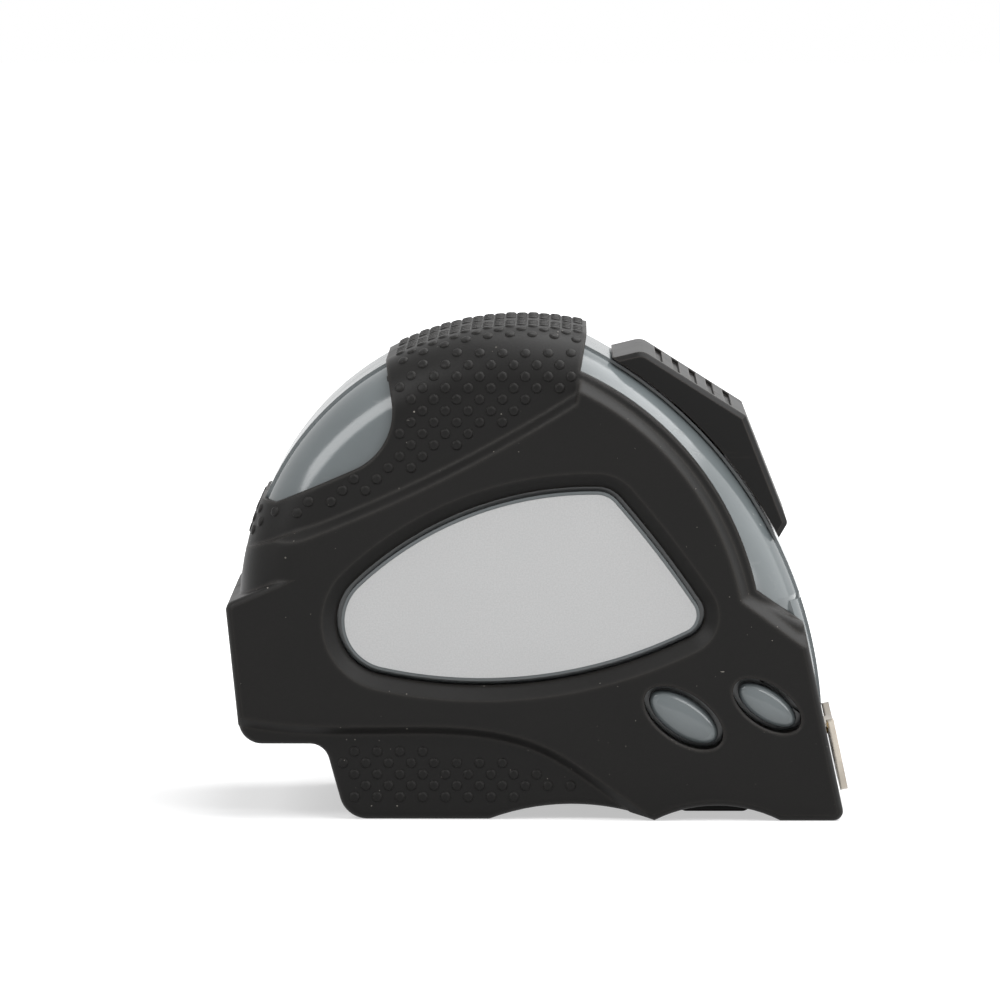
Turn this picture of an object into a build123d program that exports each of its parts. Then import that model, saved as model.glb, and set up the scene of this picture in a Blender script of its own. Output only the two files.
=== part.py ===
from build123d import *
import os
from math import asin, cos, degrees, hypot, radians, sin, tan

# Belt clip on the far side, which sets how far the seam lies from the middle of the footprint.
CLIP_GAP = 4.8
CLIP_THICKNESS = 1.0
CLIP_WIDTH = 18.0
CLIP_LENGTH = 31.0
CLIP_TOP = 35.0
CLIP_FOOT = 23.0
CLIP_TOE_IN = 2.6
CLIP_TOE_LENGTH = 6.0
CLIP_FLARE = 1.8
CLIP_FLARE_LENGTH = 3.0

# Levels across the case: room beside the reel, the shell's wall, and what stands proud of it.
REEL_SIDE_ROOM = 1.55
SIDE_WALL = 2.0
WINDOW_PROUD = 2.0
GRIP_PROUD = 2.6
BAND_PROUD = 4.0

# Case outline: a big rear circle, a flatter front track arc, two feet and a rear bumper.
REAR_X = -2.0
REAR_DROP = 2.7
REAR_WRAP = 13.0
TRACK_CENTRE = (-19.4, 10.2)
TRACK_WALL = 4.5
SHOULDER = 8.0
DISC_BOTTOM = 20.0
FOOT_REAR = -24.3
ARCH_REAR = -6.0
ARCH_TUCK = 8.3
ARCH_LENGTH = 16.0
ARCH_HEIGHT = 1.9
NOSE_AHEAD = 2.7
NOSE_LEAN = 12.0
NOSE_TOP = 12.0
STEP_NOSE = 25.0
BUMPER_PROUD = 1.6
BUMPER_TOP = 27.6
BUMPER_SLOPE = 23.5
HEEL_TUCK = 1.9
HEEL_BOTTOM = 9.6
HEEL_FRONT = -27.0
HEEL_ROUND = 3.0
FOOT_ROUND = 3.6
ANKLE_ROUND = 2.5
CORNER_ROUND = 1.2
EDGE_ROUND = 1.0

# Openings in the overmould, as corners of the side view.
REAR_WINDOW = [(-20.6, 66.0), (-17.4, 47.2), (-33.2, 40.3), (-50.0, 42.0), (-50.0, 66.0)]
REAR_WINDOW_ROUND = 8.0
GRIP_END_RISE = 9.7
GRIP_END_TOP_ANGLE = 65.5
GRIP_END_ANGLE = 62.0
BAND_ARC_INSET = 2.85
BAND_ARC_ANGLE = 41.0
STEP_INSET = 4.9
STEP_ANGLE = 22.0
STEP_OVERSHOOT = 6.7
STEP_OUT_HEIGHT = 16.1
NOSE_WINDOW_GAP = 0.6

# Smooth raised band between the two grips.
BAND_UPPER_REAR = (-46.0, 31.7)
BAND_UPPER_MIDDLE = (-17.0, 42.4)
BAND_TIP_BACK = 0.3
BAND_TIP_DROP = 2.5
BAND_LOWER = [(14.2, -0.6), (8.2, 3.6), (0.6, 8.4), (-17.0, 10.9), (-46.0, 15.2)]
BAND_BEVEL = 2.2
BAND_BEVEL_DEPTH = 3.0
BAND_CREASE = 1.2
BAND_SKIM = 0.05

# Label plate, its grey pad and the soft-edged recess round it.
LABEL_CORNERS = [(-28.8, 22.3), (9.06, 41.5), (21.3, 25.4)]
LABEL_BULGES = [5.6, 0.4, 5.6]
LABEL_ROUNDS = [6.0, 3.0, 2.2]
LABEL_THICKNESS = 0.4
LABEL_SINK = 1.2
PAD_RIM = 0.4
RECESS_GAP = 1.0
RECESS_LIP = 3.0

# Oval bosses that show through the overmould: way behind the nose, height, half length, half width.
OVALS = [(20.6, 13.2, 5.0, 2.35), (10.0, 14.75, 4.2, 1.95)]
OVAL_SLANT = -34.0
OVAL_GAP = 0.7
OVAL_SINK = 0.5
OVAL_DOME = 0.8

# Rubber, shell walls and running clearances.
RUBBER = 2.2
WINDOW_SINK = 0.4
WINDOW_STEP = 0.35
STRIP_HALF = 11.0
SKIN = 1.0
FLOOR_WALL = 1.3
FIT = 0.05
SLIDE_GAP = 0.3
RELIEF = 0.15
OVERCUT = 1.0

# Reel and blade.
SPOOL_X = -2.5
COIL_RADIUS = 23.0
COIL_LIFT = 6.3
DRUM_RADIUS = 17.0
DRUM_WALL = 1.5
FLANGE_THICKNESS = 0.8
ARBOR_RADIUS = 4.0
ARBOR_SLOT = 1.2
ARBOR_SOCKET = 1.0
ARBOR_BOSS = 6.5
REEL_ROOM = 1.2
SPRING_STRIP = 0.35
SPRING_TURNS = 5
BLADE_WIDTH = 25.0
BLADE_THICKNESS = 0.3
BLADE_CURVE = 26.0
BLADE_RISE = 4.0
FLAT_RUN = 6.0
CUP_RUN = 8.0

# End hook.
HOOK_WIDTH = 19.0
HOOK_PLATE = 1.0
HOOK_DROP_BOTTOM = 2.2
HOOK_TONGUE_LENGTH = 5.2
HOOK_TONGUE_WIDTH = 11.0
HOOK_FLOAT = 1.0
HOOK_TAPER = 2.0
HOOK_ROUND = 1.5
BLADE_SHY = 0.8
RIVET_RADIUS = 0.9
RIVET_HEAD = 1.6
RIVET_HEAD_HEIGHT = 0.6
RIVET_PITCH = 5.6
RIVET_MARGIN = 0.6

# Thumb lock, in angles round the track and heights above it.
LOCK_WIDTH = 26.0
LOCK_TRAVEL = 7.5
LOCK_REAR_ANGLE = 59.0
LOCK_BACK_ANGLE = 56.2
LOCK_BACK_HEIGHT = 2.9
LOCK_RIDGE_ANGLE = 41.6
LOCK_RIDGE_HEIGHT = 5.3
LOCK_TOE_ANGLE = 27.8
LOCK_TOE_HEIGHT = 1.9
LOCK_FRONT_ANGLE = 26.6
STEM_REAR_ANGLE = 48.0
STEM_FRONT_ANGLE = 39.0
STEM_WIDTH = 8.0
STEM_SOCKET = 1.5
STEM_ROOM_ANGLE = 1.0
ARM_THICKNESS = 2.2
ARM_REAR_ANGLE = 51.0
ARM_ROOM = 0.8
BRAKE_SHOE = 1.0
GROOVE_COUNT = 5
GROOVE_WIDTH = 1.1
GROOVE_DEPTH = 0.5
GROOVE_MARGIN = 2.0
LOCK_EDGE = 0.6
LOCK_BACK_ROUND = 2.0
LOCK_TOE_ROUND = 0.8

# Finger brake under the nose.
LEVER_PIVOT_HEIGHT = 4.9
LEVER_ARM = 4.4
LEVER_BARREL = 1.4
LEVER_PIN = 0.8
LEVER_TRAVEL = 7.0
LEVER_WIDTH = 18.0
LEVER_PLATE = 1.0
BUTTON_TUCK = 11.8
BUTTON_LENGTH = 9.5
BUTTON_WIDTH = 24.6
BUTTON_BOTTOM = 0.2
BUTTON_ROUND = 1.2
BUTTON_RIBS = 4
BRAKE_PAD = 0.4
BRAKE_PAD_LENGTH = 5.0
PIN_SEAT = 2.0
LEAF_THICKNESS = 0.3
LEAF_WIDTH = 6.0
LEAF_RISE = 0.7

# Tape mouth.
MOUTH_BOTTOM = 6.9
MOUTH_TOP = 13.4
MOUTH_FRAME = 1.6
GUIDE_ROOM = 1.1
GUIDE_SEAT_LENGTH = 2.4
BUMPER_PAD_WIDTH = 16.0
BUMPER_PAD_DEPTH = 1.2
BUMPER_PAD_TOP = 6.3

# Case screws, all driven from the far side.
SCREW_ANGLES = [204.0, 144.0, 79.0, -26.0]
SCREW_WALL = 2.2
SCREW_RADIUS = 1.2
SCREW_HEAD_RADIUS = 2.3
SCREW_HEAD_HEIGHT = 1.6
SCREW_BITE = 8.0
SCREW_SEAT = 14.0
CLIP_SCREW_HEAD = 2.8
CLIP_SCREW_BITE = 7.0


def polar(centre, radius, angle):
    """The point of the side view at a radius and an angle above +X round a centre."""
    return (centre[0] + radius * cos(radians(angle)), centre[1] + radius * sin(radians(angle)))


# Worked-out levels and places: the reel sets the shell round it, and the shell sets the rest.
SEAM = Plane.XZ.offset((CLIP_GAP + CLIP_THICKNESS) / 2)
SEAM_Y = SEAM.origin.Y
DRUM_HALF = BLADE_WIDTH / 2 + RELIEF
CAVITY_REACH = DRUM_HALF + FLANGE_THICKNESS + REEL_SIDE_ROOM
SHELL_REACH = CAVITY_REACH + SIDE_WALL
WINDOW_REACH = SHELL_REACH + WINDOW_PROUD
GRIP_REACH = SHELL_REACH + GRIP_PROUD
BAND_REACH = SHELL_REACH + BAND_PROUD
PAD_REACH = BAND_REACH - LABEL_SINK - LABEL_THICKNESS
SPOOL_CENTRE = (SPOOL_X, COIL_RADIUS + COIL_LIFT)
REAR_CENTRE = (REAR_X, SPOOL_CENTRE[1] - REAR_DROP)
REAR_RADIUS = COIL_RADIUS + REAR_WRAP
TRACK_TO_SPOOL = hypot(SPOOL_CENTRE[0] - TRACK_CENTRE[0], SPOOL_CENTRE[1] - TRACK_CENTRE[1])
ARM_INNER = TRACK_TO_SPOOL + COIL_RADIUS + ARM_ROOM
ARM_OUTER = ARM_INNER + ARM_THICKNESS
TRACK_RADIUS = ARM_OUTER + TRACK_WALL
NOSE_FRONT = TRACK_CENTRE[0] + TRACK_RADIUS + NOSE_AHEAD
ARCH_FRONT = NOSE_FRONT - ARCH_TUCK
ARCH_MIDDLE = ARCH_FRONT - ARCH_LENGTH
BUTTON_FRONT = NOSE_FRONT - BUTTON_TUCK
BUTTON_REAR = BUTTON_FRONT - BUTTON_LENGTH
LEVER_PIVOT = (BUTTON_REAR - LEVER_ARM, LEVER_PIVOT_HEIGHT)
GRIP_END_TOP = polar(TRACK_CENTRE, TRACK_RADIUS + GRIP_END_RISE, GRIP_END_TOP_ANGLE)
GRIP_END = polar(TRACK_CENTRE, TRACK_RADIUS - BAND_ARC_INSET, GRIP_END_ANGLE)
BAND_ARC_MIDDLE = polar(TRACK_CENTRE, TRACK_RADIUS - BAND_ARC_INSET, BAND_ARC_ANGLE)
BAND_TIP = (GRIP_END[0] - BAND_TIP_BACK, GRIP_END[1] - BAND_TIP_DROP)
STEP_TOP = polar(TRACK_CENTRE, TRACK_RADIUS - STEP_INSET, STEP_ANGLE)
STEP_OUT = (NOSE_FRONT + STEP_OVERSHOOT, STEP_OUT_HEIGHT)
BUMPER_REAR = REAR_CENTRE[0] - REAR_RADIUS - BUMPER_PROUD
HEEL_REAR = BUMPER_REAR + HEEL_TUCK
FLOOR = ARCH_HEIGHT + SKIN + FLOOR_WALL
ABOVE_NOSE = Plane.XY.offset(NOSE_TOP)
MOUTH_HALF = BLADE_WIDTH / 2 + SLIDE_GAP
GUIDE_HALF = MOUTH_HALF + MOUTH_FRAME
SCREW_CIRCLE = COIL_RADIUS + REEL_ROOM + SCREW_WALL + SCREW_RADIUS
SCREW_PLACES = [polar(SPOOL_CENTRE, SCREW_CIRCLE, angle) for angle in SCREW_ANGLES]


def across_axis(centre):
    """The axis that runs from side to side through a point of the side view."""
    return Axis((centre[0], SEAM_Y, centre[1]), (0, 1, 0))


def disc(centre, radius, reach, shoulder, step=0):
    """Near half of a disc across the case: a rounded shoulder, and a step up to its middle strip."""
    with BuildPart() as body:
        with BuildSketch(Plane((centre[0], SEAM_Y, centre[1]))) as profile:
            Rectangle(radius - step, reach, align=(Align.MIN, Align.MAX))
            fillet(profile.vertices().group_by(Axis.X)[-1].sort_by(Axis.Y)[0], shoulder)
            if step:
                Rectangle(radius, STRIP_HALF, align=(Align.MIN, Align.MAX))
        revolve(axis=across_axis(centre))
    return body.part


def nose_x(height):
    """Where the leaning front face stands at a height."""
    return NOSE_FRONT - height * tan(radians(NOSE_LEAN))


def lower_block(reach, nose_top, inset, edge):
    """Near half of the feet, nose and rear bumper, set back by the inset, its side edge rounded."""
    ridge = (REAR_CENTRE[0], BUMPER_TOP + (REAR_CENTRE[0] - BUMPER_REAR) * tan(radians(BUMPER_SLOPE)))
    rear_arch_middle = (ARCH_REAR + ARCH_MIDDLE) / 2
    brake_arch_middle = (ARCH_MIDDLE + ARCH_FRONT) / 2
    with BuildPart() as body:
        with BuildSketch(SEAM) as profile:
            with BuildLine():
                Line((FOOT_REAR, 0), (ARCH_REAR, 0))
                ThreePointArc((ARCH_REAR, 0), (rear_arch_middle, ARCH_HEIGHT), (ARCH_MIDDLE, 0))
                ThreePointArc((ARCH_MIDDLE, 0), (brake_arch_middle, ARCH_HEIGHT), (ARCH_FRONT, 0))
                Polyline(
                    (ARCH_FRONT, 0),
                    (NOSE_FRONT, 0),
                    (nose_x(nose_top), nose_top),
                    ridge,
                    (BUMPER_REAR, BUMPER_TOP),
                    (HEEL_REAR, HEEL_BOTTOM),
                    (HEEL_FRONT, HEEL_BOTTOM),
                    (FOOT_REAR, 0),
                )
            make_face()
            if inset:
                offset(amount=-inset, kind=Kind.INTERSECTION)
            fillet(profile.vertices().sort_by_distance((FOOT_REAR, 0))[0], FOOT_ROUND)
            fillet(profile.vertices().sort_by_distance((HEEL_FRONT, HEEL_BOTTOM))[0], ANKLE_ROUND)
            rearmost = profile.vertices().sort_by(Axis.X)
            fillet(rearmost[1], HEEL_ROUND)
            rearmost = profile.vertices().sort_by(Axis.X)
            fillet(rearmost[0], CORNER_ROUND)
            foremost = profile.vertices().sort_by(Axis.X)[-1]
            fillet(foremost, CORNER_ROUND)
        extrude(amount=reach)
        if edge:
            fillet(body.edges().filter_by(Plane.XZ).group_by(Axis.Y)[0], edge)
    return body.part


def bulge_circle(start, end, bulge):
    """Centre and radius of the circle through two points that bulges to the left between them."""
    run, rise = end[0] - start[0], end[1] - start[1]
    chord = hypot(run, rise)
    radius = (chord**2 / 4 + bulge**2) / (2 * bulge)
    inward = (radius - bulge) / chord
    return ((start[0] + end[0]) / 2 + rise * inward, (start[1] + end[1]) / 2 - run * inward), radius


def label_sketch(plane, grow):
    """The label's three-cornered outline with bulging sides, grown by an amount."""
    with BuildSketch(plane) as outline:
        for index, bulge in enumerate(LABEL_BULGES):
            following = LABEL_CORNERS[(index + 1) % len(LABEL_CORNERS)]
            centre, radius = bulge_circle(LABEL_CORNERS[index], following, bulge)
            with Locations(centre):
                Circle(radius + grow, mode=Mode.INTERSECT if index else Mode.ADD)
        for corner, rounding in zip(LABEL_CORNERS, LABEL_ROUNDS):
            fillet(outline.vertices().sort_by_distance(corner)[0], rounding + grow)
    return outline.sketch


def rear_window_sketch(plane):
    """The grey window behind the upper grip."""
    with BuildSketch(plane) as outline:
        with BuildLine():
            Polyline(*REAR_WINDOW, close=True)
        make_face()
        fillet(outline.vertices().sort_by_distance(REAR_WINDOW[1])[0], REAR_WINDOW_ROUND)
    return outline.sketch


def front_window_sketch(plane):
    """Everything in front of the grip's end and outside the band: the grey lock track."""
    with BuildSketch(plane) as outline:
        with BuildLine():
            Line(GRIP_END_TOP, GRIP_END)
            ThreePointArc(GRIP_END, BAND_ARC_MIDDLE, STEP_TOP)
            Polyline(STEP_TOP, STEP_OUT, (STEP_OUT[0], GRIP_END_TOP[1]), GRIP_END_TOP)
        make_face()
    return outline.sketch


def band_sketch(plane):
    """The smooth band: rear to nose, between the upper and the lower grip."""
    with BuildSketch(plane) as outline:
        with BuildLine():
            ThreePointArc(BAND_UPPER_REAR, BAND_UPPER_MIDDLE, BAND_TIP)
            Line(BAND_TIP, GRIP_END)
            ThreePointArc(GRIP_END, BAND_ARC_MIDDLE, STEP_TOP)
            below = BAND_LOWER[0][1]
            Polyline(STEP_TOP, STEP_OUT, (STEP_OUT[0], below), BAND_LOWER[0])
            Spline(*BAND_LOWER)
            Line(BAND_LOWER[-1], BAND_UPPER_REAR)
        make_face()
    return outline.sketch


def side_point(point, depth):
    """A point of the side view, as a point in space at a depth towards the near side."""
    return (point[0], SEAM_Y - depth, point[1])


def nearest_edge(face, point):
    """The edge of a side face that passes nearest a point of the side view."""
    return face.edges().sort_by_distance((point[0], face.center().Y, point[1]))[0]


def midpoint(start, end):
    """The point halfway between two points of the side view."""
    return ((start[0] + end[0]) / 2, (start[1] + end[1]) / 2)


def sector_sketch(plane, centre, inner, outer, front_angle, rear_angle):
    """A stretch of a ring of the side view between two angles."""
    with BuildSketch(plane) as outline:
        with BuildLine():
            CenterArc(centre, inner, front_angle, rear_angle - front_angle)
            CenterArc(centre, outer, front_angle, rear_angle - front_angle)
            Line(polar(centre, inner, front_angle), polar(centre, outer, front_angle))
            Line(polar(centre, inner, rear_angle), polar(centre, outer, rear_angle))
        make_face()
    return outline.sketch


def outline_sketch(plane, *points):
    """A straight-sided outline of the side view."""
    with BuildSketch(plane) as outline:
        with BuildLine():
            Polyline(*points, close=True)
        make_face()
    return outline.sketch


def circle_sketch(plane, centre, radius):
    """A round of the side view."""
    with BuildSketch(plane) as outline:
        with Locations(centre):
            Circle(radius)
    return outline.sketch


def finish(piece, name):
    """Label a finished piece and write its file."""
    piece.part.label = name
    export_step(piece.part, f"parts/{name}.step")


# Blade line: it leaves the coil's underside and climbs gently to the mouth.
RISE_X = cos(radians(BLADE_RISE))
RISE_Z = sin(radians(BLADE_RISE))
BLADE_DROP = COIL_RADIUS + RELIEF + BLADE_THICKNESS / 2
BLADE_START = (SPOOL_CENTRE[0] + BLADE_DROP * RISE_Z, SPOOL_CENTRE[1] - BLADE_DROP * RISE_X)
HALF_BLADE = degrees(BLADE_WIDTH / 2 / BLADE_CURVE)
HALF_TONGUE = degrees(HOOK_TONGUE_WIDTH / 2 / BLADE_CURVE)


def blade_z(x):
    """Height of the blade's middle line at a place along the case."""
    return BLADE_START[1] + (x - BLADE_START[0]) * tan(radians(BLADE_RISE))


def blade_plane(run):
    """The plane square to the blade at a run from the coil, x across and y up."""
    origin = (BLADE_START[0] + run * RISE_X, SEAM_Y, BLADE_START[1] + run * RISE_Z)
    return Plane(origin, x_dir=(0, 1, 0), z_dir=(RISE_X, 0, RISE_Z))


def cupped_sketch(plane, below, above, half_angle):
    """Cross-section of a cupped strip between two heights over the blade's middle surface."""
    return sector_sketch(
        plane, (0, BLADE_CURVE), BLADE_CURVE - above, BLADE_CURVE + below, -90 - half_angle, -90 + half_angle
    )


def cup_rise(half_width):
    """How far a cupped strip rises from its middle to a half width."""
    return half_width**2 / (2 * BLADE_CURVE)


def over_track(angle, height):
    """A point at an angle round the lock's track and a height over it."""
    return polar(TRACK_CENTRE, TRACK_RADIUS + SLIDE_GAP + height, angle)


HOOK_X = nose_x(blade_z(nose_x(MOUTH_BOTTOM))) + SLIDE_GAP
BLADE_RUN = (HOOK_X - BLADE_START[0]) / RISE_X
STEM_TOP = TRACK_RADIUS + SLIDE_GAP + STEM_SOCKET
SHOE_X = TRACK_CENTRE[0] + ARM_OUTER
GUIDE_REAR = SHOE_X + GUIDE_ROOM
GUIDE_SEAT = GUIDE_REAR - GUIDE_SEAT_LENGTH
SHOE_Z = blade_z(SHOE_X) + BLADE_THICKNESS / 2 + cup_rise(STEM_WIDTH / 2) + SLIDE_GAP
SHOE_ANGLE = degrees(asin((SHOE_Z - TRACK_CENTRE[1]) / ARM_INNER)) + LOCK_TRAVEL
ARM_FRONT_ANGLE = SHOE_ANGLE + degrees(BRAKE_SHOE / ARM_OUTER)
LEVER_SWING = (LEVER_PIVOT[1] - BUTTON_BOTTOM) * sin(radians(LEVER_TRAVEL))
LEVER_BOTTOM = FLOOR + RELIEF
LEVER_TOP = LEVER_BOTTOM + LEVER_PLATE
LEVER_FRONT = BUTTON_FRONT + LEVER_PLATE

# Near-half forms that the case pieces are cut from.
core_disc = disc(REAR_CENTRE, REAR_RADIUS - RUBBER, SHELL_REACH, SHOULDER - RUBBER)
core_track = disc(TRACK_CENTRE, TRACK_RADIUS - RUBBER, SHELL_REACH, SHOULDER - RUBBER)
window_disc = disc(REAR_CENTRE, REAR_RADIUS - WINDOW_SINK, WINDOW_REACH, SHOULDER, WINDOW_STEP)
window_track = disc(TRACK_CENTRE, TRACK_RADIUS, WINDOW_REACH, SHOULDER, WINDOW_STEP)
nose_corners = [
    (ARCH_FRONT, SKIN),
    (STEP_OUT[0], SKIN),
    (STEP_OUT[0], BUMPER_TOP),
    (BUTTON_FRONT, BUMPER_TOP),
    (BUTTON_FRONT, NOSE_TOP),
    (ARCH_FRONT, NOSE_TOP),
]

with BuildPart() as window_form:
    add(window_disc)
    add(window_track, mode=Mode.INTERSECT)
    split(bisect_by=ABOVE_NOSE, keep=Keep.TOP)

with BuildPart() as windows:
    extrude(rear_window_sketch(SEAM), amount=BAND_REACH + OVERCUT)
    extrude(front_window_sketch(SEAM), amount=BAND_REACH + OVERCUT)

with BuildPart() as nose_slot:
    extrude(outline_sketch(SEAM, *nose_corners), amount=GUIDE_HALF + NOSE_WINDOW_GAP)

with BuildPart() as nose_upper:
    add(window_track)
    split(bisect_by=ABOVE_NOSE, keep=Keep.TOP)
    add(nose_slot.part, mode=Mode.INTERSECT)

with BuildPart() as nose_lower:
    add(lower_block(WINDOW_REACH, NOSE_TOP, 0, 0))
    add(nose_slot.part, mode=Mode.INTERSECT)

with BuildPart() as inner_form:
    add(core_disc)
    add(core_track, mode=Mode.INTERSECT)
    split(bisect_by=ABOVE_NOSE, keep=Keep.TOP)
    add(lower_block(SHELL_REACH, NOSE_TOP, SKIN, 0))

with BuildPart() as core:
    add(window_form.part)
    add(windows.part, mode=Mode.INTERSECT)
    add(nose_upper.part)
    add(nose_lower.part)
    add(inner_form.part)
    extrude(label_sketch(SEAM, PAD_RIM), amount=PAD_REACH)
    for behind, height, half_length, half_width in OVALS:
        with BuildSketch(SEAM):
            with Locations((NOSE_FRONT - behind, height)):
                Ellipse(half_length, half_width, rotation=OVAL_SLANT)
        extrude(amount=BAND_REACH - OVAL_SINK)
    fillet(core.edges().group_by(Axis.Y)[0], OVAL_DOME)

with BuildPart() as band_blank:
    extrude(band_sketch(SEAM), amount=BAND_REACH)
    top = band_blank.faces().sort_by(Axis.Y)[0]
    bevels = [nearest_edge(top, BAND_ARC_MIDDLE), nearest_edge(top, midpoint(STEP_TOP, STEP_OUT))]
    chamfer(bevels, BAND_BEVEL, BAND_BEVEL_DEPTH, reference=top)
    top = band_blank.faces().sort_by(Axis.Y)[0]
    creases = [nearest_edge(top, BAND_UPPER_MIDDLE), nearest_edge(top, BAND_LOWER[3])]
    chamfer(creases, BAND_CREASE, BAND_REACH - GRIP_REACH, reference=top)

with BuildPart() as round_band:
    add(band_blank.part)
    add(disc(REAR_CENTRE, REAR_RADIUS, BAND_REACH + BAND_SKIM, SHOULDER), mode=Mode.INTERSECT)
    split(bisect_by=Plane.XY.offset(DISC_BOTTOM), keep=Keep.TOP)

with BuildPart() as band:
    add(band_blank.part)
    add(lower_block(BAND_REACH + BAND_SKIM, STEP_NOSE, 0, EDGE_ROUND), mode=Mode.INTERSECT)
    add(round_band.part)

with BuildPart() as brake_opening:
    corners = [
        (BUTTON_REAR - SLIDE_GAP, -OVERCUT),
        (BUTTON_FRONT + SLIDE_GAP + LEVER_SWING, -OVERCUT),
        (BUTTON_FRONT + SLIDE_GAP + LEVER_SWING, LEVER_PIVOT[1]),
        (BUTTON_REAR - SLIDE_GAP, LEVER_PIVOT[1]),
    ]
    extrude(outline_sketch(SEAM, *corners), amount=BUTTON_WIDTH / 2 + SLIDE_GAP)

# Right overmould: the grip level, the raised band, and everything that is let into them.
with BuildPart() as right_overmould:
    add(disc(REAR_CENTRE, REAR_RADIUS, GRIP_REACH, SHOULDER))
    split(bisect_by=Plane.XY.offset(DISC_BOTTOM), keep=Keep.TOP)
    add(lower_block(GRIP_REACH, STEP_NOSE, 0, EDGE_ROUND))
    add(band.part)
    add(windows.part, mode=Mode.SUBTRACT)
    add(nose_slot.part, mode=Mode.SUBTRACT)
    near = label_sketch(SEAM.offset(BAND_REACH + OVERCUT), RECESS_LIP + OVERCUT)
    deep = label_sketch(SEAM.offset(PAD_REACH), RECESS_GAP)
    loft([near.face(), deep.face()], mode=Mode.SUBTRACT)
    extrude(label_sketch(SEAM, RECESS_GAP), amount=PAD_REACH, mode=Mode.SUBTRACT)
    for behind, height, half_length, half_width in OVALS:
        with BuildSketch(SEAM):
            with Locations((NOSE_FRONT - behind, height)):
                Ellipse(half_length + OVAL_GAP, half_width + OVAL_GAP, rotation=OVAL_SLANT)
        extrude(amount=BAND_REACH + OVERCUT, mode=Mode.SUBTRACT)
    add(core.part, mode=Mode.SUBTRACT)
    add(brake_opening.part, mode=Mode.SUBTRACT)

# Left overmould: the mirror image, with wells for the screw heads.
with BuildPart() as left_overmould:
    add(mirror(right_overmould.part, about=SEAM))
    for place in SCREW_PLACES:
        well = circle_sketch(SEAM.offset(-SCREW_SEAT), place, SCREW_HEAD_RADIUS + SLIDE_GAP)
        extrude(well, amount=-BAND_REACH, mode=Mode.SUBTRACT)

# Mouth guide: a black frame in the nose that the blade runs through.
guide_corners = [
    (GUIDE_SEAT, FLOOR),
    (nose_x(FLOOR), FLOOR),
    (nose_x(MOUTH_TOP + MOUTH_FRAME), MOUTH_TOP + MOUTH_FRAME),
    (GUIDE_REAR, MOUTH_TOP + MOUTH_FRAME),
    (GUIDE_REAR, LEVER_TOP + LEAF_RISE),
    (GUIDE_SEAT, LEVER_TOP + LEAF_RISE),
]
with BuildPart() as guide_blank:
    extrude(outline_sketch(SEAM, *guide_corners), amount=GUIDE_HALF, both=True)

bumper_corners = [
    (nose_x(FLOOR + SKIN) - BUMPER_PAD_DEPTH, FLOOR + SKIN),
    (nose_x(FLOOR + SKIN), FLOOR + SKIN),
    (nose_x(BUMPER_PAD_TOP), BUMPER_PAD_TOP),
    (nose_x(BUMPER_PAD_TOP) - BUMPER_PAD_DEPTH, BUMPER_PAD_TOP),
]
with BuildPart() as hook_bumper:
    extrude(outline_sketch(SEAM, *bumper_corners), amount=BUMPER_PAD_WIDTH / 2, both=True)

mouth_corners = [
    (GUIDE_REAR - OVERCUT, MOUTH_BOTTOM),
    (STEP_OUT[0], MOUTH_BOTTOM),
    (STEP_OUT[0], MOUTH_TOP),
    (GUIDE_REAR - OVERCUT, MOUTH_TOP),
]
with BuildPart() as mouth_guide:
    add(guide_blank.part)
    extrude(outline_sketch(SEAM, *mouth_corners), amount=MOUTH_HALF, both=True, mode=Mode.SUBTRACT)
    add(hook_bumper.part, mode=Mode.SUBTRACT)

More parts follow.
